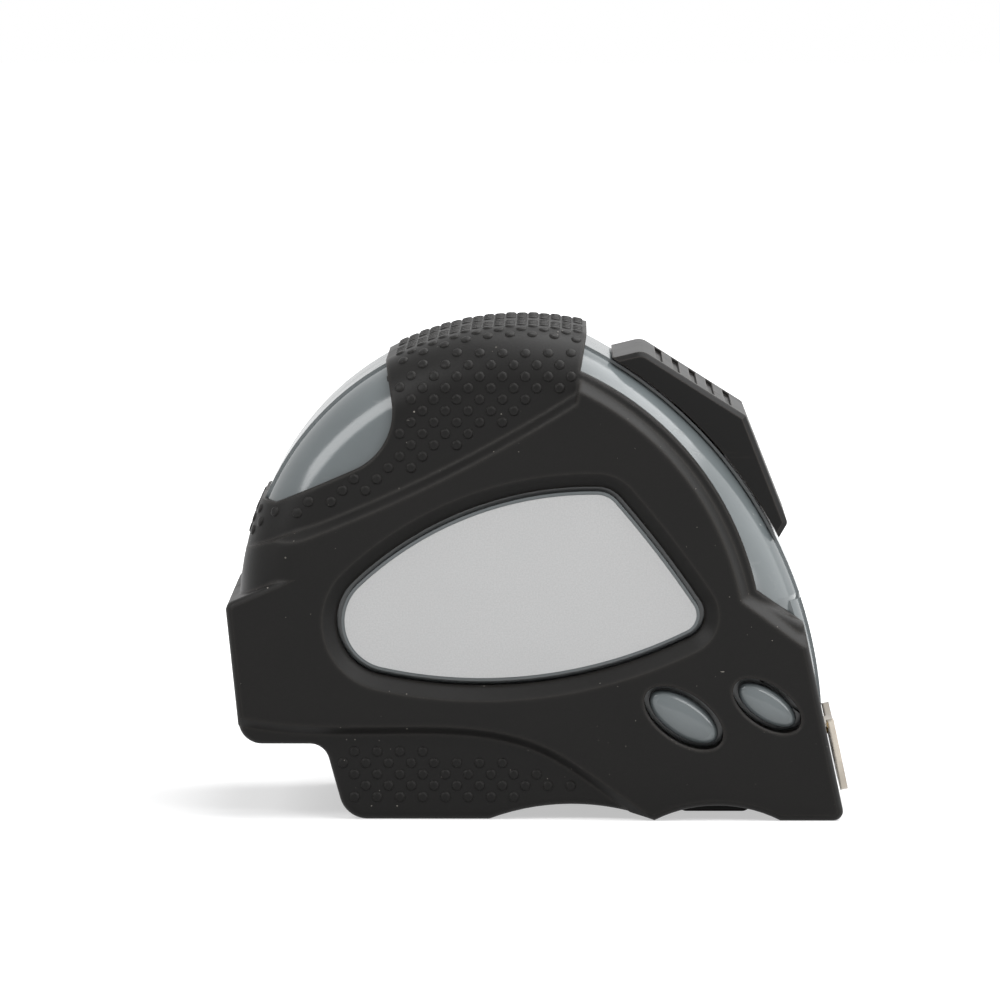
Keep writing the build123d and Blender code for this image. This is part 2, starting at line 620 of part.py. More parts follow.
# Right case half: the core, hollowed for the reel, the blade, the lock's arm and the brake.
channel_corners = [
    (SPOOL_CENTRE[0], FLOOR),
    (GUIDE_REAR, FLOOR),
    (GUIDE_REAR, MOUTH_TOP + SLIDE_GAP),
    (SPOOL_CENTRE[0], MOUTH_TOP + SLIDE_GAP),
]
barrel_room = LEVER_BARREL + SLIDE_GAP
with BuildPart() as right_case_half:
    add(core.part)
    reel_room = circle_sketch(SEAM, SPOOL_CENTRE, COIL_RADIUS + REEL_ROOM)
    extrude(reel_room, amount=CAVITY_REACH, mode=Mode.SUBTRACT)
    extrude(outline_sketch(SEAM, *channel_corners), amount=MOUTH_HALF, mode=Mode.SUBTRACT)
    arm_room = sector_sketch(
        SEAM,
        TRACK_CENTRE,
        ARM_INNER - ARM_ROOM,
        TRACK_RADIUS - RUBBER,
        0,
        ARM_REAR_ANGLE + STEM_ROOM_ANGLE,
    )
    extrude(arm_room, amount=STEM_WIDTH / 2 + SLIDE_GAP, mode=Mode.SUBTRACT)
    stem_slot = sector_sketch(
        SEAM,
        TRACK_CENTRE,
        ARM_OUTER,
        TRACK_RADIUS + OVERCUT,
        STEM_FRONT_ANGLE - LOCK_TRAVEL - STEM_ROOM_ANGLE,
        STEM_REAR_ANGLE + STEM_ROOM_ANGLE,
    )
    extrude(stem_slot, amount=STEM_WIDTH / 2 + SLIDE_GAP, mode=Mode.SUBTRACT)
    add(guide_blank.part, mode=Mode.SUBTRACT)
    add(brake_opening.part, mode=Mode.SUBTRACT)
    barrel_corners = [
        (LEVER_PIVOT[0] - barrel_room, LEVER_PIVOT[1] - barrel_room),
        (BUTTON_REAR, LEVER_PIVOT[1] - barrel_room),
        (BUTTON_REAR, MOUTH_TOP),
        (LEVER_PIVOT[0] - barrel_room, MOUTH_TOP),
    ]
    barrel_half = LEVER_WIDTH / 2 + SLIDE_GAP
    extrude(outline_sketch(SEAM, *barrel_corners), amount=barrel_half, mode=Mode.SUBTRACT)
    ear_corners = [
        (LEVER_PIVOT[0] - LEVER_BARREL, FLOOR - RELIEF),
        (LEVER_PIVOT[0] + LEVER_BARREL, FLOOR - RELIEF),
        (LEVER_PIVOT[0] + LEVER_BARREL, LEVER_PIVOT[1] + LEVER_BARREL),
        (LEVER_PIVOT[0] - LEVER_BARREL, LEVER_PIVOT[1] + LEVER_BARREL),
    ]
    ear_reach = MOUTH_HALF + MOUTH_FRAME - barrel_half
    extrude(outline_sketch(SEAM.offset(barrel_half), *ear_corners), amount=ear_reach)
    pin_hole = circle_sketch(SEAM, LEVER_PIVOT, LEVER_PIN)
    extrude(pin_hole, amount=barrel_half + PIN_SEAT, mode=Mode.SUBTRACT)
    arbor_boss = circle_sketch(SEAM.offset(CAVITY_REACH - ARBOR_SOCKET), SPOOL_CENTRE, ARBOR_BOSS)
    extrude(arbor_boss, amount=SHELL_REACH - CAVITY_REACH + ARBOR_SOCKET)
    extrude(circle_sketch(SEAM, SPOOL_CENTRE, ARBOR_RADIUS), amount=CAVITY_REACH, mode=Mode.SUBTRACT)
    for place in SCREW_PLACES:
        extrude(circle_sketch(SEAM, place, SCREW_RADIUS), amount=SCREW_BITE, mode=Mode.SUBTRACT)

# Left case half: the mirror image, drilled through for the screws that enter from this side.
with BuildPart() as left_case_half:
    add(mirror(right_case_half.part, about=SEAM))
    for place in SCREW_PLACES:
        extrude(circle_sketch(SEAM, place, SCREW_RADIUS), amount=-SCREW_SEAT, mode=Mode.SUBTRACT)
        well = circle_sketch(SEAM.offset(-SCREW_SEAT), place, SCREW_HEAD_RADIUS + SLIDE_GAP)
        extrude(well, amount=-BAND_REACH, mode=Mode.SUBTRACT)
    extrude(circle_sketch(SEAM, SPOOL_CENTRE, SCREW_RADIUS), amount=-BAND_REACH, mode=Mode.SUBTRACT)

with BuildPart() as label_plate:
    extrude(label_sketch(SEAM.offset(PAD_REACH), 0), amount=LABEL_THICKNESS)

# Spring arbor: the fixed post between the halves, slit for the spring's inner end.
with BuildPart() as spring_arbor:
    extrude(circle_sketch(SEAM, SPOOL_CENTRE, ARBOR_RADIUS), amount=CAVITY_REACH, both=True)
    with Locations(side_point(SPOOL_CENTRE, 0)):
        Box(
            2 * ARBOR_RADIUS,
            CAVITY_REACH,
            ARBOR_SLOT,
            align=(Align.MIN, Align.CENTER, Align.CENTER),
            mode=Mode.SUBTRACT,
        )
    screw_hole = circle_sketch(SEAM.offset(-CAVITY_REACH), SPOOL_CENTRE, SCREW_RADIUS)
    extrude(screw_hole, amount=CLIP_SCREW_BITE, mode=Mode.SUBTRACT)

with BuildPart() as case_screws:
    for place in SCREW_PLACES:
        shank = circle_sketch(SEAM.offset(-SCREW_SEAT), place, SCREW_RADIUS)
        extrude(shank, amount=SCREW_SEAT + SCREW_BITE)
        head = circle_sketch(SEAM.offset(-SCREW_SEAT), place, SCREW_HEAD_RADIUS)
        extrude(head, amount=-SCREW_HEAD_HEIGHT)

# Reel: a flanged drum, its cover, the wound spring inside it and the wound blade round it.
FLANGE_RADIUS = COIL_RADIUS + RELIEF
with BuildPart() as spool_drum:
    extrude(circle_sketch(SEAM, SPOOL_CENTRE, DRUM_RADIUS), amount=DRUM_HALF, both=True)
    extrude(circle_sketch(SEAM.offset(DRUM_HALF), SPOOL_CENTRE, FLANGE_RADIUS), amount=FLANGE_THICKNESS)
    spring_well = circle_sketch(SEAM.offset(-DRUM_HALF), SPOOL_CENTRE, DRUM_RADIUS - DRUM_WALL)
    extrude(spring_well, amount=2 * DRUM_HALF - DRUM_WALL, mode=Mode.SUBTRACT)
    bearing = circle_sketch(SEAM, SPOOL_CENTRE, ARBOR_RADIUS + FIT)
    extrude(bearing, amount=CAVITY_REACH, mode=Mode.SUBTRACT)

with BuildPart() as spool_cover:
    extrude(circle_sketch(SEAM.offset(-DRUM_HALF), SPOOL_CENTRE, FLANGE_RADIUS), amount=-FLANGE_THICKNESS)
    extrude(circle_sketch(SEAM, SPOOL_CENTRE, ARBOR_RADIUS + FIT), amount=-CAVITY_REACH, mode=Mode.SUBTRACT)

with BuildPart() as tape_coil:
    extrude(circle_sketch(SEAM, SPOOL_CENTRE, COIL_RADIUS), amount=BLADE_WIDTH / 2, both=True)
    hollow = circle_sketch(SEAM, SPOOL_CENTRE, DRUM_RADIUS)
    extrude(hollow, amount=BLADE_WIDTH / 2, both=True, mode=Mode.SUBTRACT)

# Power spring: a flat spiral of half circles whose centres step to and fro by half its pitch.
SPRING_START = ARBOR_RADIUS + RELIEF
SPRING_PITCH = (DRUM_RADIUS - DRUM_WALL - RELIEF - SPRING_STRIP - SPRING_START) / SPRING_TURNS
with BuildPart() as power_spring:
    with BuildSketch(SEAM):
        with BuildLine():
            for side_radius in (SPRING_START, SPRING_START + SPRING_STRIP):
                for half_turn in range(2 * SPRING_TURNS):
                    shift = SPRING_PITCH / 2 if half_turn % 2 else 0
                    middle = (SPOOL_CENTRE[0] + shift, SPOOL_CENTRE[1])
                    CenterArc(middle, side_radius + half_turn * SPRING_PITCH / 2, 180 * (half_turn % 2), 180)
            for turns in (0, SPRING_TURNS):
                inner_end = SPOOL_CENTRE[0] + SPRING_START + turns * SPRING_PITCH
                Line((inner_end, SPOOL_CENTRE[1]), (inner_end + SPRING_STRIP, SPOOL_CENTRE[1]))
        make_face()
    extrude(amount=DRUM_HALF - DRUM_WALL - RELIEF, both=True)

# Blade: flat where it leaves the coil, cupped by the time it reaches the nose.
with BuildPart() as blade_blank:
    with BuildSketch(blade_plane(0)):
        Rectangle(BLADE_WIDTH, BLADE_THICKNESS)
    extrude(amount=FLAT_RUN)
    with BuildSketch(blade_plane(FLAT_RUN)) as flat_section:
        Rectangle(BLADE_WIDTH, BLADE_THICKNESS)
    half = BLADE_THICKNESS / 2
    cupped = cupped_sketch(blade_plane(FLAT_RUN + CUP_RUN), half, half, HALF_BLADE)
    loft([flat_section.sketch.face(), cupped.face()])
    extrude(cupped, amount=BLADE_RUN - FLAT_RUN - CUP_RUN - BLADE_SHY)

# End hook: a short cupped tongue on the blade, slotted for two rivets, and a plate on the nose.
RIVET_RUN = BLADE_RUN - HOOK_TONGUE_LENGTH + RIVET_MARGIN + HOOK_FLOAT + RIVET_RADIUS + FIT
RIVET_SIDES = (-RIVET_PITCH / 2, RIVET_PITCH / 2)
RIVET_PLANE = Plane(blade_plane(0).origin, x_dir=(RISE_X, 0, RISE_Z), z_dir=(-RISE_Z, 0, RISE_X))
tongue_bottom = -(BLADE_THICKNESS / 2 + FIT)
tongue_top = BLADE_THICKNESS / 2 + FIT + HOOK_PLATE
NOSE_PLANE = Plane(
    (nose_x(0) + SLIDE_GAP, SEAM_Y, 0),
    x_dir=(0, 1, 0),
    z_dir=(cos(radians(NOSE_LEAN)), 0, sin(radians(NOSE_LEAN))),
)
plate_top = (blade_z(HOOK_X) + tongue_top) / cos(radians(NOSE_LEAN))
plate_bottom = HOOK_DROP_BOTTOM / cos(radians(NOSE_LEAN))
ear_rise = cup_rise(HOOK_WIDTH / 2)
with BuildPart() as end_hook:
    with BuildSketch(NOSE_PLANE) as plate:
        with BuildLine():
            half_top = HOOK_WIDTH / 2
            half_bottom = half_top - HOOK_TAPER
            ThreePointArc((-half_top, plate_top + ear_rise), (0, plate_top), (half_top, plate_top + ear_rise))
            Polyline(
                (half_top, plate_top + ear_rise),
                (half_top, (plate_top + plate_bottom) / 2),
                (half_bottom, plate_bottom),
                (-half_bottom, plate_bottom),
                (-half_top, (plate_top + plate_bottom) / 2),
                (-half_top, plate_top + ear_rise),
            )
        make_face()
        fillet(plate.vertices().group_by(Axis.Y)[0], HOOK_ROUND)
    extrude(amount=HOOK_PLATE)
    tongue_start = blade_plane(BLADE_RUN - HOOK_TONGUE_LENGTH)
    tongue = cupped_sketch(tongue_start, tongue_bottom, tongue_top, HALF_TONGUE)
    extrude(tongue, amount=HOOK_TONGUE_LENGTH + HOOK_PLATE / 2)
    with BuildSketch(RIVET_PLANE):
        for side in RIVET_SIDES:
            with Locations((RIVET_RUN - HOOK_FLOAT / 2, side)):
                SlotCenterToCenter(HOOK_FLOAT, 2 * (RIVET_RADIUS + FIT))
    extrude(amount=MOUTH_TOP, mode=Mode.SUBTRACT)

with BuildPart() as hook_rivets:
    underside = cup_rise(RIVET_PITCH / 2 - RIVET_RADIUS) - BLADE_THICKNESS / 2
    crown = cup_rise(RIVET_PITCH / 2 + RIVET_HEAD) + tongue_top + FIT
    for side in RIVET_SIDES:
        with BuildSketch(RIVET_PLANE.offset(underside - RIVET_HEAD_HEIGHT)):
            with Locations((RIVET_RUN, side)):
                Circle(RIVET_HEAD)
        extrude(amount=RIVET_HEAD_HEIGHT)
        with BuildSketch(RIVET_PLANE.offset(underside)):
            with Locations((RIVET_RUN, side)):
                Circle(RIVET_RADIUS)
        extrude(amount=crown - underside)
        with BuildSketch(RIVET_PLANE.offset(crown)):
            with Locations((RIVET_RUN, side)):
                Circle(RIVET_HEAD)
        extrude(amount=RIVET_HEAD_HEIGHT)

with BuildPart() as tape_blade:
    add(blade_blank.part)
    add(hook_rivets.part, mode=Mode.SUBTRACT)

# Thumb lock: a wedge that rides the track, its arm inside the case and the arm's brake shoe.
lock_back = over_track(LOCK_BACK_ANGLE, LOCK_BACK_HEIGHT)
lock_ridge = over_track(LOCK_RIDGE_ANGLE, LOCK_RIDGE_HEIGHT)
lock_toe = over_track(LOCK_TOE_ANGLE, LOCK_TOE_HEIGHT)
facet_run = hypot(lock_ridge[0] - lock_back[0], lock_ridge[1] - lock_back[1])
facet_x = (lock_ridge[0] - lock_back[0]) / facet_run
facet_z = (lock_ridge[1] - lock_back[1]) / facet_run
FACET = Plane(
    side_point(midpoint(lock_back, lock_ridge), 0),
    x_dir=(facet_x, 0, facet_z),
    z_dir=(-facet_z, 0, facet_x),
)
with BuildPart() as lock_button:
    with BuildSketch(SEAM) as lock_profile:
        with BuildLine():
            sole_radius = TRACK_RADIUS + SLIDE_GAP
            CenterArc(TRACK_CENTRE, sole_radius, LOCK_FRONT_ANGLE, LOCK_REAR_ANGLE - LOCK_FRONT_ANGLE)
            Polyline(
                over_track(LOCK_REAR_ANGLE, 0),
                lock_back,
                lock_ridge,
                lock_toe,
                over_track(LOCK_FRONT_ANGLE, 0),
            )
        make_face()
        fillet(lock_profile.vertices().sort_by_distance(lock_back)[0], LOCK_BACK_ROUND)
        fillet(lock_profile.vertices().sort_by_distance(lock_toe)[0], LOCK_TOE_ROUND)
    extrude(amount=LOCK_WIDTH / 2, both=True)
    # The two longest side edges run along the sole and stay sharp.
    rims = lock_button.faces().filter_by(Axis.Y).edges().sort_by(SortBy.LENGTH)
    chamfer(rims[:-2], LOCK_EDGE)
    pocket = sector_sketch(SEAM, TRACK_CENTRE, TRACK_RADIUS, STEM_TOP, STEM_FRONT_ANGLE, STEM_REAR_ANGLE)
    extrude(pocket, amount=STEM_WIDTH / 2, both=True, mode=Mode.SUBTRACT)
    groove_pitch = (facet_run - 2 * GROOVE_MARGIN - GROOVE_WIDTH) / (GROOVE_COUNT - 1)
    with BuildSketch(FACET):
        with GridLocations(groove_pitch, 0, GROOVE_COUNT, 1):
            Rectangle(GROOVE_WIDTH, LOCK_WIDTH - 2 * GROOVE_MARGIN)
    extrude(amount=-GROOVE_DEPTH, mode=Mode.SUBTRACT)

with BuildPart() as lock_brake_arm:
    arm = sector_sketch(SEAM, TRACK_CENTRE, ARM_INNER, ARM_OUTER, ARM_FRONT_ANGLE, ARM_REAR_ANGLE)
    extrude(arm, amount=STEM_WIDTH / 2, both=True)
    stem = sector_sketch(SEAM, TRACK_CENTRE, ARM_OUTER, STEM_TOP, STEM_FRONT_ANGLE, STEM_REAR_ANGLE)
    extrude(stem, amount=STEM_WIDTH / 2, both=True)

with BuildPart() as lock_brake_pad:
    shoe = sector_sketch(SEAM, TRACK_CENTRE, ARM_INNER, ARM_OUTER, SHOE_ANGLE, ARM_FRONT_ANGLE)
    extrude(shoe, amount=STEM_WIDTH / 2, both=True)

# Finger brake: a lever on a cross pin, its soft pad under the blade, and a leaf spring on its tip.
with BuildPart() as brake_lever:
    extrude(circle_sketch(SEAM, LEVER_PIVOT, LEVER_BARREL), amount=LEVER_WIDTH / 2, both=True)
    lever_corners = [
        (LEVER_PIVOT[0], LEVER_BOTTOM),
        (LEVER_FRONT, LEVER_BOTTOM),
        (LEVER_FRONT, LEVER_TOP),
        (LEVER_PIVOT[0], LEVER_TOP),
    ]
    extrude(outline_sketch(SEAM, *lever_corners), amount=LEVER_WIDTH / 2, both=True)
    with BuildSketch(SEAM) as button:
        with BuildLine():
            Polyline(
                (BUTTON_REAR, LEVER_BOTTOM),
                (BUTTON_REAR, BUTTON_BOTTOM),
                (BUTTON_FRONT, BUTTON_BOTTOM),
                (BUTTON_FRONT, LEVER_BOTTOM),
                close=True,
            )
        make_face()
        fillet(button.vertices().group_by(Axis.Y)[0], BUTTON_ROUND)
    extrude(amount=BUTTON_WIDTH / 2, both=True)
    pin_bore = circle_sketch(SEAM, LEVER_PIVOT, LEVER_PIN + FIT)
    extrude(pin_bore, amount=LEVER_WIDTH / 2, both=True, mode=Mode.SUBTRACT)
    rib_pitch = (BUTTON_FRONT - BUTTON_REAR - 2 * BUTTON_ROUND) / BUTTON_RIBS
    with BuildSketch(Plane.XY.offset(BUTTON_BOTTOM)):
        with Locations(((BUTTON_REAR + BUTTON_FRONT) / 2, SEAM_Y)):
            with GridLocations(rib_pitch, 0, BUTTON_RIBS, 1):
                Rectangle(rib_pitch / 2, BUTTON_WIDTH - 2 * BUTTON_ROUND)
    extrude(amount=GROOVE_DEPTH, mode=Mode.SUBTRACT)

with BuildPart() as brake_pad:
    with Locations((BUTTON_FRONT, SEAM_Y, LEVER_TOP)):
        Box(BRAKE_PAD_LENGTH, STEM_WIDTH, BRAKE_PAD, align=(Align.MAX, Align.CENTER, Align.MIN))

with BuildPart() as brake_pivot_pin:
    pin_half = LEVER_WIDTH / 2 + SLIDE_GAP + PIN_SEAT
    extrude(circle_sketch(SEAM, LEVER_PIVOT, LEVER_PIN), amount=pin_half, both=True)

with BuildPart() as brake_spring:
    leaf_tip = BUTTON_FRONT + RELIEF
    leaf_seat = LEVER_TOP + LEAF_RISE
    leaf_corners = [
        (leaf_tip, LEVER_TOP + FIT),
        (leaf_tip + LEVER_PLATE, LEVER_TOP + FIT),
        (GUIDE_SEAT, leaf_seat),
        (GUIDE_REAR, leaf_seat),
        (GUIDE_REAR, leaf_seat + LEAF_THICKNESS),
        (GUIDE_SEAT, leaf_seat + LEAF_THICKNESS),
        (leaf_tip + LEVER_PLATE, LEVER_TOP + FIT + LEAF_THICKNESS),
        (leaf_tip, LEVER_TOP + FIT + LEAF_THICKNESS),
    ]
    extrude(outline_sketch(SEAM, *leaf_corners), amount=LEAF_WIDTH / 2, both=True)

# Belt clip on the far side: a folded strip screwed through the shell into the arbor.
clip_inner = SEAM_Y + PAD_REACH
clip_outer = SEAM_Y + BAND_REACH + CLIP_GAP + CLIP_THICKNESS
clip_bend = (clip_outer - clip_inner) / 2
clip_toe = CLIP_TOP - CLIP_LENGTH + CLIP_TOE_LENGTH + CLIP_FLARE_LENGTH
clip_tip = clip_outer - CLIP_TOE_IN
with BuildPart() as belt_clip:
    with BuildSketch(Plane.YZ.offset(SPOOL_CENTRE[0] - CLIP_WIDTH / 2)):
        with BuildLine():
            Line((clip_inner, CLIP_FOOT), (clip_inner, CLIP_TOP))
            ThreePointArc(
                (clip_inner, CLIP_TOP), (clip_inner + clip_bend, CLIP_TOP + clip_bend), (clip_outer, CLIP_TOP)
            )
            Polyline(
                (clip_outer, CLIP_TOP),
                (clip_outer, clip_toe),
                (clip_tip, clip_toe - CLIP_TOE_LENGTH),
                (clip_tip + CLIP_FLARE, CLIP_TOP - CLIP_LENGTH),
            )
            offset(amount=CLIP_THICKNESS, side=Side.RIGHT)
        make_face()
    extrude(amount=CLIP_WIDTH)
    clip_hole = circle_sketch(SEAM, SPOOL_CENTRE, SCREW_RADIUS)
    extrude(clip_hole, amount=-(PAD_REACH + CLIP_THICKNESS + OVERCUT), mode=Mode.SUBTRACT)
    driver_plane = SEAM.offset(-BAND_REACH - OVERCUT)
    driver_hole = circle_sketch(driver_plane, SPOOL_CENTRE, CLIP_SCREW_HEAD + SLIDE_GAP)
    extrude(driver_hole, amount=-(CLIP_GAP + CLIP_THICKNESS), mode=Mode.SUBTRACT)

with BuildPart() as belt_clip_screw:
    head_plane = SEAM.offset(-PAD_REACH - CLIP_THICKNESS)
    extrude(circle_sketch(head_plane, SPOOL_CENTRE, CLIP_SCREW_HEAD), amount=-SCREW_HEAD_HEIGHT)
    screw_reach = PAD_REACH + CLIP_THICKNESS - CAVITY_REACH + CLIP_SCREW_BITE
    extrude(circle_sketch(head_plane, SPOOL_CENTRE, SCREW_RADIUS), amount=screw_reach)

os.makedirs("parts", exist_ok=True)
finish(right_case_half, "right_case_half")
finish(left_case_half, "left_case_half")
finish(right_overmould, "right_overmould")
finish(left_overmould, "left_overmould")
finish(label_plate, "label_plate")
finish(spring_arbor, "spring_arbor")
finish(case_screws, "case_screws")
finish(mouth_guide, "mouth_guide")
finish(hook_bumper, "hook_bumper")
finish(spool_drum, "spool_drum")
finish(spool_cover, "spool_cover")
finish(tape_coil, "tape_coil")
finish(power_spring, "power_spring")
finish(tape_blade, "tape_blade")
finish(hook_rivets, "hook_rivets")
finish(end_hook, "end_hook")
finish(lock_button, "lock_button")
finish(lock_brake_arm, "lock_brake_arm")
finish(lock_brake_pad, "lock_brake_pad")
finish(brake_lever, "brake_lever")
finish(brake_pad, "brake_pad")
finish(brake_pivot_pin, "brake_pivot_pin")
finish(brake_spring, "brake_spring")
finish(belt_clip, "belt_clip")
finish(belt_clip_screw, "belt_clip_screw")
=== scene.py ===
import logging
import math
from dataclasses import dataclass, field
from enum import Enum

import bmesh
import bpy
from mathutils import Matrix, Vector
from mathutils.bvhtree import BVHTree


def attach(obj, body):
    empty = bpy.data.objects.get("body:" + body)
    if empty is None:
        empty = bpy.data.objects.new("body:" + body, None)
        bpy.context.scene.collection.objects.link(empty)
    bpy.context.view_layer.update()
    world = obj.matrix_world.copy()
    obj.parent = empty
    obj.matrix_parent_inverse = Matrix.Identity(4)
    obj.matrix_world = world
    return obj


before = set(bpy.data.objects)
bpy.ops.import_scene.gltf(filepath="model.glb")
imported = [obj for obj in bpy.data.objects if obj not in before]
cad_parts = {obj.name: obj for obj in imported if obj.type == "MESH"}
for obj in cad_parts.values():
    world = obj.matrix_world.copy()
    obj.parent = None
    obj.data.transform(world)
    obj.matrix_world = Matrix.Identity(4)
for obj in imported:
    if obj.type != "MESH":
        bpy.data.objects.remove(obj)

LOG = logging.getLogger("tape_measure")
MM = 0.001
SEAM_Y = -2.9 * MM
WHITE = (1.0, 1.0, 1.0, 1.0)
Colour = tuple[float, float, float]
Place = tuple[float, float, float]
Point = tuple[float, float]
Socket = bpy.types.NodeSocket


class Body(Enum):
    """The rigid bodies that new pieces ride on."""

    CASE = "case"
    TAPE = "tape"


class Side(Enum):
    """The two sides of the case, as the direction of their outward normal along Y."""

    LABEL = -1.0
    CLIP = 1.0


class Graph:
    """A node tree with short calls to add nodes and link them."""

    MIX_LOW, MIX_HIGH, MIX_RESULT = 6, 7, 2

    def __init__(self, tree: bpy.types.NodeTree) -> None:
        """Keep the tree that nodes go into.

        Args:
            tree: The node tree.
        """
        self.tree = tree

    def add(self, kind: str, **values: object) -> bpy.types.Node:
        """Add a node.

        Args:
            kind: The node's Blender type.
            values: Attributes of the node to set.

        Returns:
            The new node.
        """
        node = self.tree.nodes.new(kind)
        for name, value in values.items():
            setattr(node, name, value)
        return node

    def join(self, source: object, target: Socket) -> None:
        """Link a socket to a target, or set the target to a plain value.

        Args:
            source: An output socket, a number or a colour.
            target: The input socket.
        """
        if isinstance(source, Socket):
            self.tree.links.new(source, target)
        else:
            target.default_value = source

    def math(self, operation: str, first: object, second: object = 0.0, clamp: bool = False) -> Socket:
        """Add a Math node.

        Args:
            operation: The node's operation.
            first: The first value, a socket or a number.
            second: The second value, a socket or a number.
            clamp: Whether the result is held between 0 and 1.

        Returns:
            The result's socket.
        """
        node = self.add("ShaderNodeMath", operation=operation, use_clamp=clamp)
        self.join(first, node.inputs[0])
        self.join(second, node.inputs[1])
        return node.outputs[0]

    def blend(self, mask: object, low: object, high: object) -> Socket:
        """Mix two colours by a mask.

        Args:
            mask: Where the high colour shows, from 0 to 1.
            low: The colour at mask 0.
            high: The colour at mask 1.

        Returns:
            The mixed colour's socket.
        """
        node = self.add("ShaderNodeMix", data_type="RGBA", clamp_factor=True)
        self.join(mask, node.inputs["Factor"])
        for value, target in ((low, node.inputs[self.MIX_LOW]), (high, node.inputs[self.MIX_HIGH])):
            self.join(value if isinstance(value, Socket) else (*value, 1.0), target)
        return node.outputs[self.MIX_RESULT]

    def span(self, value: object, low: float, high: float, to_low: float, to_high: float) -> Socket:
        """Map a value from one span to another, held inside it.

        Args:
            value: The value's socket.
            low: Start of the span that is read.
            high: End of the span that is read.
            to_low: The result at low.
            to_high: The result at high.

        Returns:
            The mapped value's socket.
        """
        node = self.add("ShaderNodeMapRange", clamp=True)
        for source, target in zip((value, low, high, to_low, to_high), node.inputs):
            self.join(source, target)
        return node.outputs[0]


